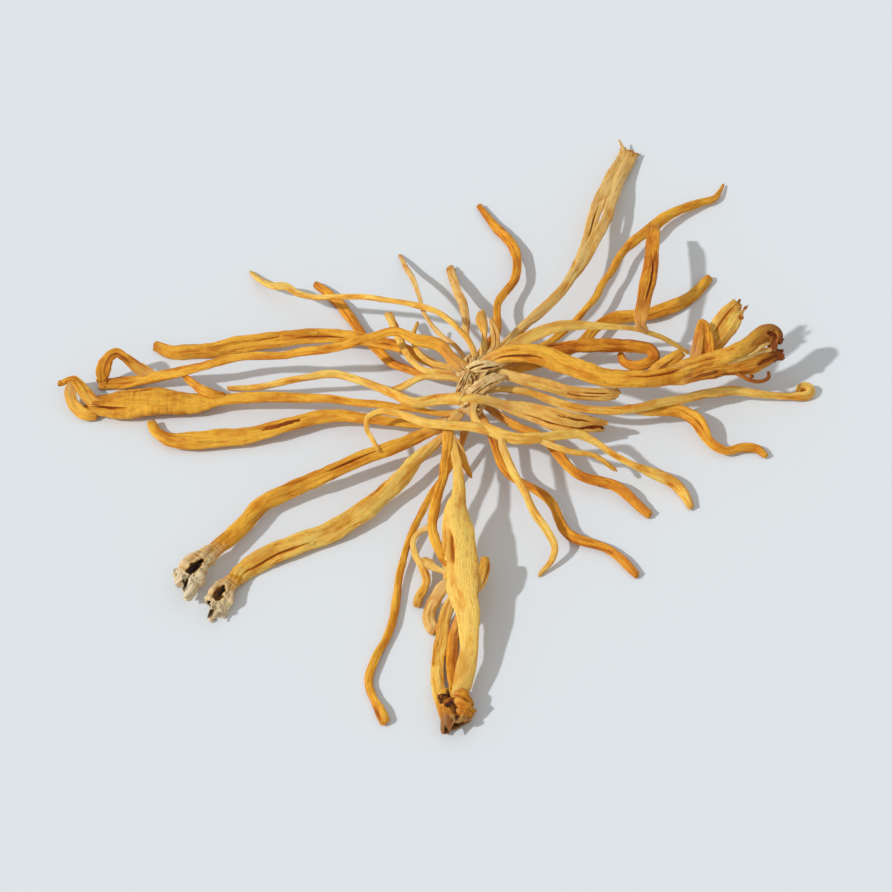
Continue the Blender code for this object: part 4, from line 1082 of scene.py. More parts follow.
# %% The lower lobe, its curl and the inner edges
under_curl = stem_mesh(64, [
    (63.6, 4, 12, 0.9), (66, 3.2, 11.4, 1), (67.8, 2.2, 11.1, 1.1), (69.4, 1.2, 10.9, 1),
    (71.4, 0.8, 10.6, 0.9), (73.2, 1.1, 10.5, 0.9), (74.6, 2.2, 10.7, 0.9), (74.6, 3.3, 11.1, 0.8)],
    tone=-0.35, crease=0.3, root_length=0.1, tip_length=40)
stem("broad_lobe_lower", [
    (46, -2.2, 13.8, 2.4), (54, 0.2, 13.4, 3.8), (61.1, 2.8, 12.9, 4.2), (66, 4.3, 12.1, 4.6),
    (70, 6, 11.3, 4.8), (73.7, 8.2, 10.9, 4.4), (76.7, 9.7, 10.5, 3.6), (78.1, 9.9, 10.3, 2.8)],
    "singed", rooted=False, flat=0.5, tip="mouth", ragged=0.35, crumbs=5, crumb_size=0.6, fold=0.1,
    tone=-0.2, tip_length=12, slits=[(0.33, 27, 34, 0.05)], lumps=0.2, crease=0.3, cells=9,
    extras=[under_curl, crumb_mesh(65, (70.3, 1.9, 11.2), 1.1, 0.8, 0.4, 0.0)])
inner_edges = [
    [(68, 6.6, 14, 0.8), (70.6, 7.8, 14.2, 1.4), (72.8, 9.5, 14.3, 1.7), (75, 10.9, 13.9, 1.2)],
    [(62, 3.6, 13.6, 0.7), (66.2, 5.1, 13.8, 1.3), (69.7, 6.8, 13.5, 1.6), (72.9, 8.6, 13.2, 1.5),
     (76.6, 9.9, 12.6, 1)]]
inner_edges = [stem_mesh(60 + i, edge, tip="point", flat=0.25, ragged=0.2, tone=0.2)
               for i, edge in enumerate(inner_edges)]
make_piece("broad_inner_edges", inner_edges, "beige")
count_pieces("lobes")

# %% [markdown]
# ## What grows on the broad stem
#
# A flat nub lies against its upper side, a narrow strip loops up and back on itself, and a blade
# folded in two stands beside the lobes. The blade is two halves in one piece, with a thorn and
# dark bits at its tip, so that the fold between them is a real gap.

# %% The nub and the loop
stem("broad_fork_nub", [
    (40, -2.4, 14.6, 1.5), (44.1, -1.2, 15.2, 3), (46.6, 0.8, 16, 3.3), (49.3, 2.9, 16.4, 3),
    (52.3, 5, 16.6, 2.2)], rooted=False, flat=0.45, wrinkle=0.04, crease=0.25, cells=8, tip="blunt",
    slits=[(0.3, 4, 13)])
stem("broad_fork_loop", [
    (55.4, 3.4, 14, 2), (56, 6.6, 15.8, 2.7), (56.7, 9.8, 17, 2.5), (57.3, 13, 17.7, 2),
    (57.9, 14.3, 17.9, 1.8), (58.5, 13.7, 17.7, 2.3), (58.8, 11.2, 16.8, 3.1), (59.1, 8.2, 15.6, 3.4),
    (59.2, 5.4, 14.2, 2.2)], "orange", rooted=False, flat=0.34, crease=0.32, wander=0.05, groove=0.3,
    fold=0.1, lumps=0.2, cells=9, crumbs=2, crumb_size=0.6)
count_pieces("nub and loop")

# %% The folded blade
halves = dict(flat=0.42, tip="blunt", ragged=1.0, crease=0.2, cells=7, wander=0.1, groove=0.2)
folded_half = stem_mesh(66, [
    (57.4, 4.4, 12.6, 2), (59.6, 7.8, 13.2, 3.2), (62.2, 11, 14.1, 3.6), (65, 14.4, 15.1, 3.6),
    (67, 17.4, 15.8, 3), (68, 19.2, 16.1, 2)], flare=0, tone=-0.05, **halves)
thorn = stem_mesh(67, [
    (67.3, 18.6, 16, 0.9), (68.7, 19.3, 16.3, 0.6), (70, 20.8, 16.6, 0.4)], tip="point", tone=-0.6)
bits = crumbs_at(68, 0.5, [((68.1, 17.4, 16.1), 1.4, 0.8, 0.02), ((69.4, 20.2, 16.6), 1.0, 0.8, 0.02),
                           ((68.0, 22.2, 17.2), 0.9, 0.8, 0.02)])
stem("broad_fork_blade", [
    (57.2, 5.4, 12.8, 2), (58.9, 9.3, 13.6, 3.4), (61, 12.6, 14.6, 4), (63.2, 16, 15.6, 4.2),
    (65.6, 19.4, 16.5, 3.8), (67.4, 21.6, 17, 2.6)], "pale", rooted=False, crumbs=5, crumb_size=0.7,
    tone=0.02, slits=[(0.27, 8, 20)], extras=[folded_half, thorn, *bits], **halves)
count_pieces("folded blade")

# %% [markdown]
# ## The other stems to the right
#
# Below the broad stem lie a short grainy one, a long thin one with a ring at its tip and a
# curled fork, and a flat one whose end is torn. Behind it, a smooth orange stem rolls up at its
# end. The ring and the roll are only routes again, laid as flat spirals.

# %% The grainy stem and the thin one with its fork
stem("stem_right_mid", [
    (1, -0.5, 12.8, 2), (5.5, 0.3, 14, 2.4), (9.5, -0.6, 14.3, 2.7), (14, -2, 14.2, 3),
    (19.5, -3.5, 13.8, 3.2), (24, -4.5, 13.2, 3.2), (28.5, -4.6, 12.2, 3.2), (32.5, -4, 11.2, 3.1),
    (35.5, -3.2, 10.4, 2.4)], "grainy", flat=0.55, tip="cup", crease=0.2, ragged=1.2, crumbs=6,
    crumb_size=0.5, slits=[(0.3, 16, 36), (0.2, 26, 35)], root_length=9, cells=8, peeling=2, tone=0.16)
stem("stem_right_thin", [
    (1, -3, 11, 1.5), (6, -2, 11, 1.6), (13.5, -2.5, 10.2, 1.8), (24.5, -6, 9, 2), (31, -7, 8.6, 2),
    (40, -6, 8, 2), (50, -2.5, 7, 2.1), (59.5, 1, 5.6, 2.3), (67, 3, 4.2, 2.4), (72, 2.8, 3.4, 2.2),
    (77.3, 3, 2.3, 1.8), (80.6, 3.2, 1.9, 1.9), (83, 3.3, 1.7, 2.3), (84.9, 3.5, 1.6, 2.5),
    (86.2, 4.2, 1.7, 2.4), (86.5, 5.1, 1.9, 2.3), (85.8, 5.8, 2.2, 2.2), (84.5, 5.8, 2.4, 2.1),
    (83.6, 5.2, 2.4, 2), (83.4, 4.6, 2.2, 1.8)], "pale", twist=(0, 40),
    extras=[crumb_mesh(63, (84.9, 4.7, 1.7), 1.9, 0.6, 0.2, 0.0)])
stem("thin_fork_curl", [
    (38, -5.7, 8.2, 1.8), (43.3, -5, 6, 2.5), (48.5, -4, 4.8, 3.1), (53.3, -4.2, 4.2, 3.3),
    (56.3, -6.2, 3.8, 3.6), (57.9, -9.3, 3.4, 3.3), (59.7, -12.8, 2.6, 2.3), (63.2, -14.9, 2, 2),
    (67.6, -13.7, 1.7, 2.3), (71.4, -13.8, 1.4, 2), (73.3, -15.5, 1.1, 1.5)], rooted=False, flat=0.5)
count_pieces("grainy and thin stems")

# %% The torn stem and the rolled-up one
stem("stem_right_lower", [
    (-3, -7.6, 13.9, 1), (-0.6, -7.6, 14.4, 1.7), (3, -7.7, 13.8, 2.2), (6.6, -7.8, 12.2, 2.6),
    (10, -8, 11, 3.2), (14.5, -8.8, 10.4, 4.4), (19, -10.2, 9.8, 5.2), (23.5, -10.8, 8.8, 5.2),
    (28, -10.8, 7.8, 4.4), (31.5, -10.4, 6.8, 2.6)], "grainy", flat=0.45, tip="cup", ragged=1.6,
    crease=0.16, crumbs=9, peeling=2, slits=[(0.32, 14, 40), (0.3, 31, 39, 0.06), (0.16, 24, 34, 0.02)],
    cells=8, root_length=7, tone=0.14, flare=0)
stem("stem_right_curl", [
    (6.2, 6.8, 9.4, 2), (14.4, 10.6, 9.2, 2.6), (22.7, 13.2, 9, 3.1), (30.5, 14.6, 8.4, 3.4),
    (37.3, 15.4, 7.4, 3.4), (42.8, 15.8, 6.5, 3.1), (45.8, 15.3, 5.9, 2.9), (46.8, 13.4, 5.4, 2.8),
    (44.6, 11.4, 4.9, 2.8), (41.2, 10.9, 4.5, 2.6), (38.6, 12.4, 4.4, 2.3), (38, 15, 4.5, 1.8)],
    "orange", flat=0.55)
count_pieces("right")

# %% [markdown]
# ## The stem towards the viewer
#
# It starts as a narrow root, with a thin stem beside it, and broadens to a smooth blade as flat
# as a leaf. Short forks, a loop, a knob and an ear leave it along the way. A blade this smooth
# needs little crease or wander, and its colour comes from long threads alone.

# %% The blade and the thin stem beside it
stem("stem_down_left", [
    (-3.5, -9, 10.5, 2), (-6, -13.5, 10.3, 2.4), (-7, -22, 9.6, 2.6), (-7.6, -28, 9, 2.3),
    (-9, -33.5, 8.5, 2.4), (-10, -38.5, 8, 2.3), (-10.5, -42.5, 7.6, 2.4), (-9.5, -47, 7.2, 2.5),
    (-8, -51, 7.4, 2.3), (-6.5, -54, 7.8, 2)])
stem("stem_down_blade", [
    (-5.7, -14.8, 9.9, 1.3), (-5.4, -18, 10.1, 1.7), (-5, -21.5, 10.2, 1.9), (-4.3, -26, 10.4, 2.1),
    (-4, -30.5, 10.4, 2.6), (-4, -35, 10.2, 3.6), (-4.4, -38, 9.8, 5), (-4.4, -41.5, 9.4, 6.4),
    (-4, -46, 8.8, 7.4), (-3.6, -53, 8, 8.3), (-3.4, -58, 7.4, 8.1), (-2.8, -62, 7, 7),
    (-2, -66.5, 6.6, 5.6), (-1.8, -72, 6, 4.6), (-1.8, -78, 5.4, 4.1), (-2.9, -84, 4.6, 4.2),
    (-3.8, -88, 3.9, 3.6), (-4.4, -91.5, 3.2, 2.6)], "pale", rooted=False, flat=0.34, groove=0.05,
    cells=7, crease=0.06, wander=0.2, lumps=0.03, tip_length=16, tone=0.22, peeling=1,
    slits=[(0.42, 26, 37), (0.33, 29, 40), (0.4, 50, 60)])
count_pieces("blade")

# %% Forks, loop, knob and ear
stem("fork_short", [
    (-6, -16, 10, 1.6), (-4.2, -19, 9.2, 1.8), (-3, -22, 8.4, 1.8), (-2, -24.5, 7.8, 1.7),
    (-1.2, -26.3, 7.3, 1.2)], rooted=False, tip="point")
stem("fork_loop", [
    (-10, -42, 6.8, 1.2), (-13, -42.6, 6.2, 1.3), (-15, -45.5, 5.5, 1.3), (-14.5, -48.5, 4.5, 1.5),
    (-12.7, -51.5, 3.4, 1.8), (-11.6, -54.5, 2.4, 2), (-12.4, -57, 1.7, 2.1), (-13.6, -59, 1.3, 2.2),
    (-13.9, -60.6, 1.1, 2.1)], "pale", rooted=False, flat=0.7, lumps=0.14)
stem("fork_knob", [
    (-6, -56, 7.4, 1.2), (-8.6, -54.9, 7, 1.3), (-10.3, -53.6, 6.7, 2), (-11.3, -52.6, 6.6, 2.5),
    (-11.9, -51.9, 6.5, 1.9)], "pale", rooted=False, flat=0.85, groove=0.03, crease=0.08, tone=0.2)
stem("fork_lower", [
    (-6, -57.5, 6.8, 2.4), (-8.2, -59.5, 5.6, 2.9), (-9.6, -61, 4, 3), (-10.8, -62.8, 2.4, 3),
    (-11.2, -65, 1.4, 3), (-10.7, -67, 1.2, 2.9), (-10.2, -68.2, 1.1, 2.6)], "beige", rooted=False,
    tip_length=1)
stem("fork_ear", [
    (-1, -62.4, 7, 1.4), (0.7, -59.8, 7.6, 2.2), (1.6, -57, 8, 2.6), (2.2, -54, 8.2, 2.4),
    (2.2, -52.2, 8.2, 1.8)], rooted=False, flat=0.45, slits=[(0.36, 3, 10)], crease=0.25)
count_pieces("forks")

# %% [markdown]
# ## Two strands and the ragged head
#
# Below its middle the blade splits, and two strands run down beside it to a ragged head. The
# head is a torn russet cup with dark lumps in its hollow, and crumpled orange folds grown round
# one side of it. A scan would show one tangled mass, but cup, lumps and folds each stay simple.

# %% The two strands
stem("strand_down_left", [
    (-3.6, -60.5, 6.8, 1.8), (-6, -62.2, 4.6, 2.4), (-7.6, -66, 2.6, 2.9), (-8.2, -70.5, 1.7, 3),
    (-9, -76, 1.4, 3), (-9, -81.5, 1.6, 3), (-8.6, -87, 2.4, 2.8), (-8.1, -90.5, 2.6, 2.2),
    (-7.5, -94, 2.4, 1.6)], "pale", rooted=False, tip_length=5)
# The darker orange finish on the middle strand is painted shade behind the blade.
stem("strand_down_mid", [
    (-2, -64.5, 6.2, 1.8), (-3.6, -66.4, 4.2, 2.2), (-5, -70, 2.2, 2.6), (-5.4, -74, 1.5, 2.7),
    (-5.6, -79, 1.5, 2.5), (-5.4, -84, 1.8, 2.3), (-5.2, -89, 2.6, 2.2)], "orange", rooted=False)
count_pieces("strands")

# %% The ragged head
HEAD_FOLDS = (                  # routes of the folds: x, y, z and width
    ((-5.6, -88.4, 4, 1.6), (-4.2, -89, 4.6, 2.4), (-2.6, -89.6, 4, 2.2), (-1.4, -90.2, 2.8, 1.4)),
    ((-5.2, -90.2, 4.2, 1.6), (-3.9, -90.9, 4.6, 2.4), (-2.3, -91.4, 3.8, 2.5), (-1.2, -91.8, 2.8, 1.6)),
    ((-5, -91.8, 3.8, 1.4), (-3.8, -92.6, 4, 2), (-2.4, -92.8, 3.3, 2), (-1.6, -92.9, 2.6, 1.2)),
    ((-4.4, -86.8, 4.2, 1.2), (-3.6, -88, 4.6, 1.8), (-2.6, -88.6, 4.1, 1.6), (-1.8, -89, 3.2, 1)),
)
head_seed = name_seed("head_down")
cup = stem_mesh(head_seed, [
    (-5.8, -85.5, 2.6, 3), (-5.8, -88, 3, 5), (-5.4, -90, 3.1, 6), (-5.2, -92, 2.9, 6.4),
    (-5.2, -94, 2.6, 6.2)], flat=0.5, groove=0.2, tip="mouth", ragged=0.7, slant=-0.4, lumps=0.25,
    wrinkle=0.08, crease=0.32, cells=9, flare=0,
    slits=[(0.3, 2, 8), (0.34, 0.5, 5, 0.05), (0.24, 6, 9, 0.05)], tip_length=2.5)
lumps = crumbs_at(head_seed, 0.7, [
    ((-7.4, -89.4, 4.3), 2.6, 0.6, 0.02), ((-6, -91.4, 4.2), 3.2, 0.5, 0.05),
    ((-6.9, -93.3, 3.4), 1.7, 0.6, 0.3), ((-4.5, -93.2, 3.8), 1.5, 0.6, 0.5)])
folds = [stem_mesh(head_seed + 20 + i, fold, flat=0.6, tip="blunt", crease=0.4, cells=8, lumps=0.35,
                   wrinkle=0.08, ragged=1.2, wander=0.3, tone=-0.08, root_length=0.5)
         for i, fold in enumerate(HEAD_FOLDS)]
make_piece("head_folds", folds + tip_crumbs(head_seed, cup, 5, 0.6), "orange")
make_piece("head_down", [cup] + lumps, "russet")
count_pieces("towards the viewer")

# %% [markdown]
# ## The stem that crosses in front of the base
#
# A long stem bends round below the base. One arm hooks to the left, two forks leave it on the
# right, and its end lies on the table as a flat tongue. The two arms overlap for a few points of
# their routes, so that they read as one stem.

# %% The crossing stem
stem("stem_cross_right", [
    (0, -8, 13, 1.4), (-0.4, -11.5, 13.5, 1.5), (0.6, -14.4, 13.2, 1.9), (4, -16.8, 12.8, 2.6),
    (9.5, -18.5, 12, 2.7), (16.5, -18, 11.5, 2.5), (22, -16.5, 11, 2.4), (26, -16, 10.5, 2.2),
    (29, -17, 9.5, 1.8), (35.5, -20.5, 7, 1.6), (39.5, -22.5, 6, 1.8), (43, -23, 4.5, 2.4),
    (47, -24, 3, 3), (50, -25.5, 2, 3), (52.5, -28.5, 1.4, 2.6), (53.5, -31.5, 1.1, 1.8)], "pale",
    twist=(0, 25))
stem("stem_cross_left", [
    (10.5, -18.3, 11.9, 1), (6.5, -17.7, 12.5, 1.9), (3, -16.8, 12.9, 2.5), (-0.5, -16, 13.1, 2.5),
    (-3.5, -15.8, 13.1, 2.3), (-6.5, -15.5, 13, 2.2), (-13, -14, 12.5, 2), (-17.5, -11.5, 12, 1.8),
    (-21, -10, 11.5, 1.6), (-24, -9.5, 11, 1.5), (-26.5, -10.5, 10, 1.4), (-27, -13, 9, 1.2),
    (-25.5, -16, 8.3, 1.1), (-24, -19, 7.8, 0.9)], "pale", rooted=False, tip="point", flare=0)
stem("cross_fork_long", [
    (6.5, -18, 12.3, 1.5), (7, -22, 12, 1.7), (9, -27.5, 11, 1.8), (12, -33, 9.5, 1.8),
    (14.5, -38.5, 8, 1.8), (17.5, -42.5, 6, 1.7), (19.3, -46, 4, 1.6), (18.2, -49, 2, 1.5),
    (16, -51.5, 0.9, 1.1)], "pale", rooted=False, tip="point")
stem("cross_fork_short", [
    (15, -18.2, 11.4, 1.2), (19, -20, 10.8, 1.4), (24, -21, 9.8, 1.4), (29, -21, 8.6, 1.3),
    (34.5, -23.5, 6, 1)], "pale", rooted=False, tip="point")
count_pieces("crossing")

# %% [markdown]
# ## The stems from the underside
#
# The rest leave the hidden underside of the base and run down to the table all round. Their
# roots are out of sight, but the object is looked at from all sides, so each is a whole stem,
# made by the same call as the others.

# %% Two broad stems to the lower left and a thin one
stem("stem_low_left_upper", [
    (-5.1, -10.3, 8.2, 2), (-11.1, -13, 7.5, 2.5), (-18.5, -16.6, 6.6, 3.2), (-28.5, -20.5, 5.8, 3.5),
    (-37.1, -24.5, 5, 3.7), (-45.7, -28.5, 4.2, 4), (-52.2, -32.7, 3.6, 4), (-56.6, -38.6, 3.4, 3.9),
    (-60.4, -43.3, 3.6, 3.9), (-63.6, -47.1, 3.9, 3.2), (-65.4, -49.4, 4, 2.4)], flat=0.5, tip="cup",
    ragged=0.3, wander=0.3, slits=[(0.28, 20, 36)], crease=0.2, cells=9, peeling=2)
stem("stem_low_left_lower", [
    (-6.2, -11.8, 6.1, 1.8), (-12.6, -18.4, 5.5, 2.8), (-18.6, -25.7, 4.8, 4), (-25.3, -32.6, 3.8, 4.4),
    (-31.8, -38.6, 3, 4.9), (-40.3, -42.6, 2.4, 4.9), (-48.8, -46, 2, 4.9), (-54.3, -49.9, 1.8, 4.7),
    (-57.4, -53.2, 1.9, 4), (-59.8, -57, 2.1, 2.8)], "pale", flat=0.5, tip="cup", ragged=0.3,
    wander=0.3, wrinkle=0.02, slits=[(0.22, 46, 66)], crease=0.2, cells=9, peeling=2)
stem("stem_down_thin", [
    (-1.5, -9.1, 6.8, 1.8), (-5, -19.4, 4.6, 1.7), (-11, -30.5, 3.6, 1.7), (-15.4, -40.8, 2.6, 1.7),
    (-17.9, -50.4, 1.9, 1.7), (-19.1, -60.6, 1.5, 1.9), (-20.9, -69.3, 1.3, 1.9),
    (-23.8, -76.9, 1.2, 1.9), (-25.1, -82.5, 1.1, 2), (-24, -87.6, 1.1, 2), (-22.4, -91, 1.1, 2.6),
    (-21.4, -93.4, 1.1, 2.4)])
count_pieces("lower left")

# %% Four stems to the back and to the right
# Three of them take the darker orange finish as painted shade, for they lie under the others.
stem("under_up", [
    (1.5, 5, 9, 1.8), (2, 12, 7.8, 2), (6, 21, 6.2, 2), (6.5, 32, 4.8, 2.1), (11.5, 43, 3.6, 2.3),
    (11, 55, 2.2, 2.5), (5.5, 64, 1.3, 2.3), (2, 71, 1.1, 1.7)], "orange")
stem("under_right_up", [
    (2.5, 3.5, 8, 1.8), (8.5, 7.5, 6.8, 2.2), (16, 10.5, 5.8, 2.4), (27, 18, 4.4, 2.6),
    (35, 27.5, 3.2, 2.9), (47, 31, 2.2, 3.4), (58, 37.5, 1.5, 3), (63, 44, 1.3, 2.2)])
stem("under_right_low", [
    (1.5, -4, 8.5, 1.8), (8, -9, 7.2, 2), (17, -14, 6, 2.1), (26, -24, 4.2, 2.3), (34, -26, 2.8, 2.6),
    (43, -34, 1.2, 2)], "orange")
stem("under_right_down", [
    (0.5, -6, 8.4, 1.8), (4, -14, 7.2, 2), (8, -24, 5.6, 2), (18, -31, 3.8, 2.2), (23, -41, 2.2, 2.4),
    (33, -45, 1.3, 2.2), (39, -52, 1, 1.7)], "orange")
count_pieces("underside")

# %% [markdown]
# ## Hollow, crumbly tips
#
# The two broad stems to the lower left end in pale husks: wide torn mouths with holes in their
# walls, a flap that hangs off and a crust of crumbs. They are stems again, short and fast
# widening, with every kind of roughness turned up.

# %% Hollow, crumbly tips
crumbly = dict(tip="mouth", ragged=1.1, lumps=0.2, crease=0.4, wrinkle=0.1, flare=0, cells=13,
               root_length=4, tip_length=2, slant=0.3)
upper_husk = stem_mesh(71, [
    (-60.2, -43, 3.6, 2.4), (-63.2, -46.7, 3.9, 3.4), (-65.6, -49.8, 4.2, 4.8), (-68, -53, 4.4, 6.4),
    (-69.6, -55.4, 4, 6.2)], flat=0.6, slits=[(0.24, 9.5, 15.5, 0.08)], **crumbly)
lower_husk = stem_mesh(72, [
    (-56.8, -52.2, 2, 2.8), (-59.2, -56, 2.3, 4.2), (-61, -59.2, 2.5, 5.8), (-62.4, -62.4, 2.4, 5.4)],
    flat=0.55, slits=[(0.3, 6, 11, 0.09)], **crumbly)
flap = stem_mesh(75, [
    (-66.5, -50.5, 5, 1), (-69.4, -51.6, 4.6, 1.8), (-71.4, -53.6, 3.4, 2.2), (-71.6, -56, 2, 1.6)],
    flat=0.4, tip="blunt", flare=0, lumps=0.3, crease=0.35, ragged=1.5, tone=-0.15)
crust = tip_crumbs(73, upper_husk, 22, 0.9) + tip_crumbs(74, lower_husk, 18, 0.9)
make_piece("hollow_tips", [upper_husk, lower_husk] + crust + [flap], "husk")
count_pieces("husks")

# %% [markdown]
# ## The base
#
# The base is where all stems meet: a lump of crushed, pale fibre. Its core is an egg whose
# surface is creased, lumpy and grainy, with noise of four sizes. It is a function of two angles,
# like a globe's, with its poles at the front and the back, where stems hide them.

# %% The core of the base
EGG_MIDDLE = (-0.3, -1.5, 12.0) # in millimetres, measured as the routes are
EGG_HALF = (4.3, 9.0, 3.9)      # half sizes
EGG_SLOPE = 0.14                # how far it rises for each millimetre to the back
EGG_SIDES, EGG_RINGS = 150, 130
EGG_END = 0.03                  # radians between a pole and its first ring
EGG_NOISE = ((8, 4.0), (19, 2.2), (41, 0.9), (5, 3.0))  # cells and length of web, fine, dust and lump
WEB_WIDTH, FINE_WIDTH = 0.2, 0.25       # of the creases where web and fine noise cross zero
FINE_SHARE = 0.6
EGG_RADIUS = (0.94, -0.24, 0.2, 0.07)   # what is plain, and what creases, lump and dust add
EGG_TONE_AND_SHADE = (0.75, -0.55, 0.25, 0.2)   # the same for its tone, with painted shade in the creases and painted light on the lumps


def egg_mesh(seed):
    """An egg along Y whose radius r sinks along each crease and swells between them.

    Point = middle + half sizes * (-r * sin(fall) cos(angle), cos(fall), r * sin(fall) sin(angle)).
    """
    share = (np.arange(EGG_SIDES) / EGG_SIDES)[None, :]
    fall = np.linspace(EGG_END, math.pi - EGG_END, EGG_RINGS)[:, None]
    angle = share * 2 * math.pi
    along = (1 - np.cos(fall)) * EGG_HALF[1]
    web, fine, dust, lump = (lattice_noise(seed + i, share, along, cells, length)
                             for i, (cells, length) in enumerate(EGG_NOISE))
    creases = np.exp(-(web / WEB_WIDTH) ** 2) + FINE_SHARE * np.exp(-(fine / FINE_WIDTH) ** 2)
    # Radius, and a tone with painted shade in the creases and painted light on the lumps
    r, tone_and_shade = (plain + crease * creases + rise * lump + grain * dust
                 for plain, crease, rise, grain in (EGG_RADIUS, EGG_TONE_AND_SHADE))
    middle = np.array(EGG_MIDDLE) - FRAME_ORIGIN
    x = middle[0] - EGG_HALF[0] * np.sin(fall) * r * np.cos(angle)
    y = middle[1] + EGG_HALF[1] * np.cos(fall) + 0 * angle
    z = middle[2] + EGG_HALF[2] * np.sin(fall) * r * np.sin(angle) + EGG_SLOPE * (y - middle[1])
    rings = np.stack([x, y, z], -1)
    marks = np.stack([np.clip(tone_and_shade, 0, 1), 0 * tone_and_shade, 0 * tone_and_shade], -1)
    poles = np.stack([rings[0].mean(0), rings[-1].mean(0)])
    return closed_mesh(rings, poles, np.stack([x, z, y], -1), marks)


make_piece("base", [egg_mesh(name_seed("base"))], "crushed")
count_pieces("core")

# %% [markdown]
# ## Strands and folds of crushed fibre
#
# A strand of skin runs from the top of the base over the root of each stem, so that the stems
# grow out of the lump instead of sticking in it. Three broad folds, pale and crumpled, are
# pressed against the top, where the tuft was torn from the ground it grew on.

# %% A strand over each root, and the folds
STRAND_REACH = 6.5              # how far a strand runs from the top of the base, in millimetres
FRONT_SHARE = 0.4               # how much shorter it is where it runs towards the viewer
STRAND_SPREAD = (2.0, 3.6)      # how far to each side and lengthwise the strands start
STRAND_SHIFT = 0.6              # and how far back their mean start lies
BASE_RISE, BASE_FALL = 3.2, 0.8         # the top of the base above its middle, and lower at its sides
STRAND_SEED, FOLD_SEED = 900, 960
BASE_FOLDS = (                  # routes of the broad folds: x, y, z and width
    ((-3.6, -9.0, 12.4, 1.0), (-2.0, -7.6, 14.2, 2.4), (1.0, -5.4, 15.6, 3.3), (4.0, -3.0, 15.8, 3.1),
     (7.5, -1.4, 14.9, 1.4)),
    ((-3.2, -0.6, 14.8, 1.0), (-0.6, 0.4, 16.0, 2.6), (2.0, 0.9, 16.4, 3.1), (4.6, 1.4, 16.2, 2.4),
     (7.6, 2.2, 15.6, 1.0)),
    ((-0.2, 0.2, 15.9, 0.9), (-1.6, -1.4, 15.8, 1.8), (-2.9, -3.4, 15.0, 2.4), (-4.2, -5.4, 13.4, 1.8),
     (-5.0, -6.6, 11.8, 0.8)),
)


def strand_over_root(number, points):
    """A flat strand of skin from the top of the base over the first stretch of a stem.

    Point = top + part * way + rise, where way leads from the top to the stem's second point.
    """
    chance = np.random.default_rng(number)
    off = chance.uniform(-1, 1, 3)
    side, lengthwise = STRAND_SPREAD * off[:2]
    top = np.array(EGG_MIDDLE) + (side, lengthwise + STRAND_SHIFT, BASE_RISE - BASE_FALL * off[0] ** 2)
    way = np.array(points[1][:3], dtype=float) - top
    length = np.linalg.norm(way)
    towards_viewer = max(0.0, -way[1] / length)
    way = way * min(1.0, STRAND_REACH * (1 - FRONT_SHARE * towards_viewer) / length)
    route = [(*(top + part * way + (0, 0, rise)), width) for part, rise, width in (
        (0, -0.6, 0.8), (0.35, 0.5, 1.7 + 0.5 * off[2]), (0.7, 0.3, 1.5), (1, 0, 0.5))]
    return stem_mesh(STRAND_SEED + number, route, tip="point", flat=0.34, groove=0.2, flare=0,
                     wander=0.5, crease=0.3, lumps=0.25, cells=7, wrinkle=0.06, face=UP, fold=0.9,
                     root_length=0.1, tone=0.18 * off[2] - 0.08)


strands = [strand_over_root(i, points) for i, points in enumerate(roots)]
folds = [stem_mesh(FOLD_SEED + i, fold, tip="point", flat=0.5, flare=0, wander=0.5, groove=0.12,
                   crease=0.34, cells=9, lumps=0.4, wrinkle=0.09, face=(0.1, -0.5, 0.9), fold=0.4,
                   root_length=0.1, tone=0.1, slits=[(0.2, 1, 7), (0.32, 3, 11), (0.4, 2, 6)])
         for i, fold in enumerate(BASE_FOLDS)]
make_piece("base_strands", strands + folds, "crushed")
print("base:", len(strands), "strands and", len(folds), "folds")

# %% [markdown]
# ## Crumbs and loose fibres on the base
#
# A few pale crumbs lie in the hollows of the base, and fine loose fibres stand off it. Hair
# particles would be lost in the exported model, so each fibre is a very thin stem.

# %% Crumbs and fibres
FIBRES = 12
FIBRE_SEED = 300
FIBRE_ROUTE_SEED = 5
FIBRE_STEP = 0.4                # millimetres between the rings of a fibre
FIBRE_REACH = (4.5, 7.0)        # how far a fibre stands off, least and most
BASE_LENGTHENING = 1.25         # and how much further along the base's own length
FIBRE_BEND = (-1.5, 1.5)
FIBRE_LIFT = (0.5, 2.5)
FIBRE_MIDDLE_RISE = (0.5, 1.5)
FIBRE_END_RISE = (-0.5, 0.8)
FIBRE_PARTS = (0.4, 0.75, 1)    # the points of a fibre's route, as parts of its reach
FIBRE_WIDTHS = (0.35, 0.28, 0.15)

base_crumbs = crumbs_at(0, 0.45, [
    ((-7.3, -12.3, 10.9), 1.5, 0.7, 0.8), ((-2.0, -8.9, 13.7), 1.2, 0.7, 0.8),
    ((3.2, -7.0, 14.0), 1.3, 0.8, 0.7), ((1.6, 2.0, 16.0), 1.3, 0.7, 0.8),
    ((-3.6, 0.0, 14.6), 1.3, 0.8, 0.6), ((3.8, -1.2, 14.6), 1.2, 0.8, 0.8),
    ((-3.0, -6.0, 14.2), 1.6, 0.6, 0.5), ((0.5, -10.5, 13.0), 1.5, 0.7, 0.3)])
make_piece("base_crumbs", base_crumbs, "crushed")


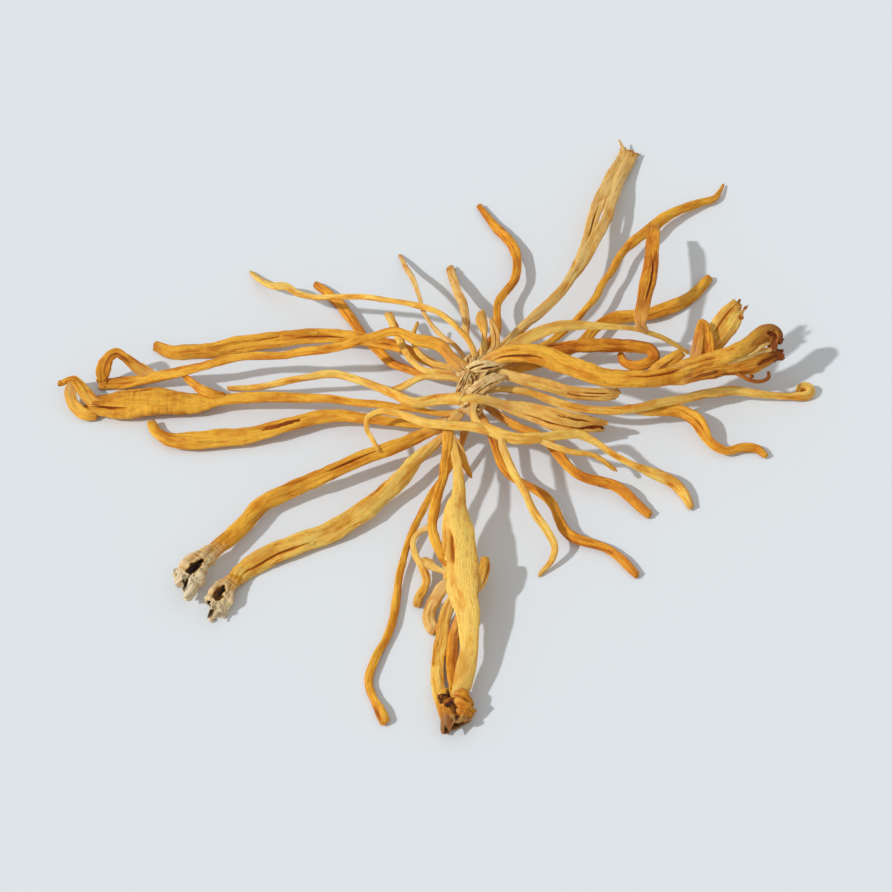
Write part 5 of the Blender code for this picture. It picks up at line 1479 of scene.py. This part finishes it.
def fibre_meshes():
    """Fine loose fibres that stand off the base in all directions.

    Point = middle + across * reach * part + side * part^2 + rise, so that a fibre bends aside.
    """
    chance = np.random.default_rng(FIBRE_ROUTE_SEED)
    meshes = []
    for i in range(FIBRES):
        way = chance.uniform(0, 2 * math.pi)
        reach = chance.uniform(*FIBRE_REACH)
        across = np.array([math.cos(way), BASE_LENGTHENING * math.sin(way), 0])
        side = np.array([-math.sin(way), math.cos(way), 0]) * chance.uniform(*FIBRE_BEND)
        middle = np.array(EGG_MIDDLE) + (0, 0, chance.uniform(*FIBRE_LIFT))
        rises = (0, chance.uniform(*FIBRE_MIDDLE_RISE), chance.uniform(*FIBRE_END_RISE))
        route = [(*(middle + across * reach * part + side * part**2 + (0, 0, rise)), width)
                 for part, rise, width in zip(FIBRE_PARTS, rises, FIBRE_WIDTHS)]
        meshes.append(stem_mesh(FIBRE_SEED + i, route, flat=0.8, tip="point", wander=0.5, step=FIBRE_STEP))
    return meshes


make_piece("base_fibres", fibre_meshes(), "crushed")
print("base and crumbs:", len(pieces), "pieces in all")

# %% [markdown]
# ## Table and light
#
# The table is a plain pale sheet. The light is that of a bright studio: a large soft fill from
# all round and one low lamp from the left, whose shadows are a little soft at their edges.

# %% The table
FLOOR_HALF = 2.0                # metres
FLOOR_COLOUR = (0.765, 0.82, 0.87)
FLOOR_ROUGHNESS = 0.9

floor_mesh = bpy.data.meshes.new("floor")
corners = ((-1, -1), (1, -1), (1, 1), (-1, 1))
floor_mesh.from_pydata([(x * FLOOR_HALF, y * FLOOR_HALF, 0) for x, y in corners], [], [(0, 1, 2, 3)])
floor = bpy.data.objects.new("floor", floor_mesh)
bpy.context.scene.collection.objects.link(floor)
floor_finish = bpy.data.materials.new("pale_table")
floor_finish.use_nodes = True
floor_shader = floor_finish.node_tree.nodes["Principled BSDF"]
floor_shader.inputs["Base Color"].default_value = (*FLOOR_COLOUR, 1)
floor_shader.inputs["Roughness"].default_value = FLOOR_ROUGHNESS
floor_mesh.materials.append(floor_finish)
print("table:", 2 * FLOOR_HALF, "m wide")

# %% The light
FILL_COLOUR = (1.0, 0.975, 0.94)
FILL_STRENGTH = 0.52
LAMP_ENERGY = 2.15
LAMP_ALTITUDE = math.radians(40)
LAMP_SOFTNESS = math.radians(2.5)
LAMP_TRAVEL = Vector((0.95, 0.30, -math.tan(LAMP_ALTITUDE)))

world = bpy.data.worlds.new("studio")
world.use_nodes = True
fill = world.node_tree.nodes["Background"]
fill.inputs["Color"].default_value = (*FILL_COLOUR, 1)
fill.inputs["Strength"].default_value = FILL_STRENGTH
bpy.context.scene.world = world

lamp_data = bpy.data.lights.new("lamp", "SUN")
lamp_data.energy = LAMP_ENERGY
lamp_data.angle = LAMP_SOFTNESS
lamp = bpy.data.objects.new("lamp", lamp_data)
lamp.rotation_euler = LAMP_TRAVEL.to_track_quat("-Z", "Y").to_euler()
bpy.context.scene.collection.objects.link(lamp)
bpy.context.scene.view_settings.view_transform = "Standard"
print("light: one lamp and a fill")
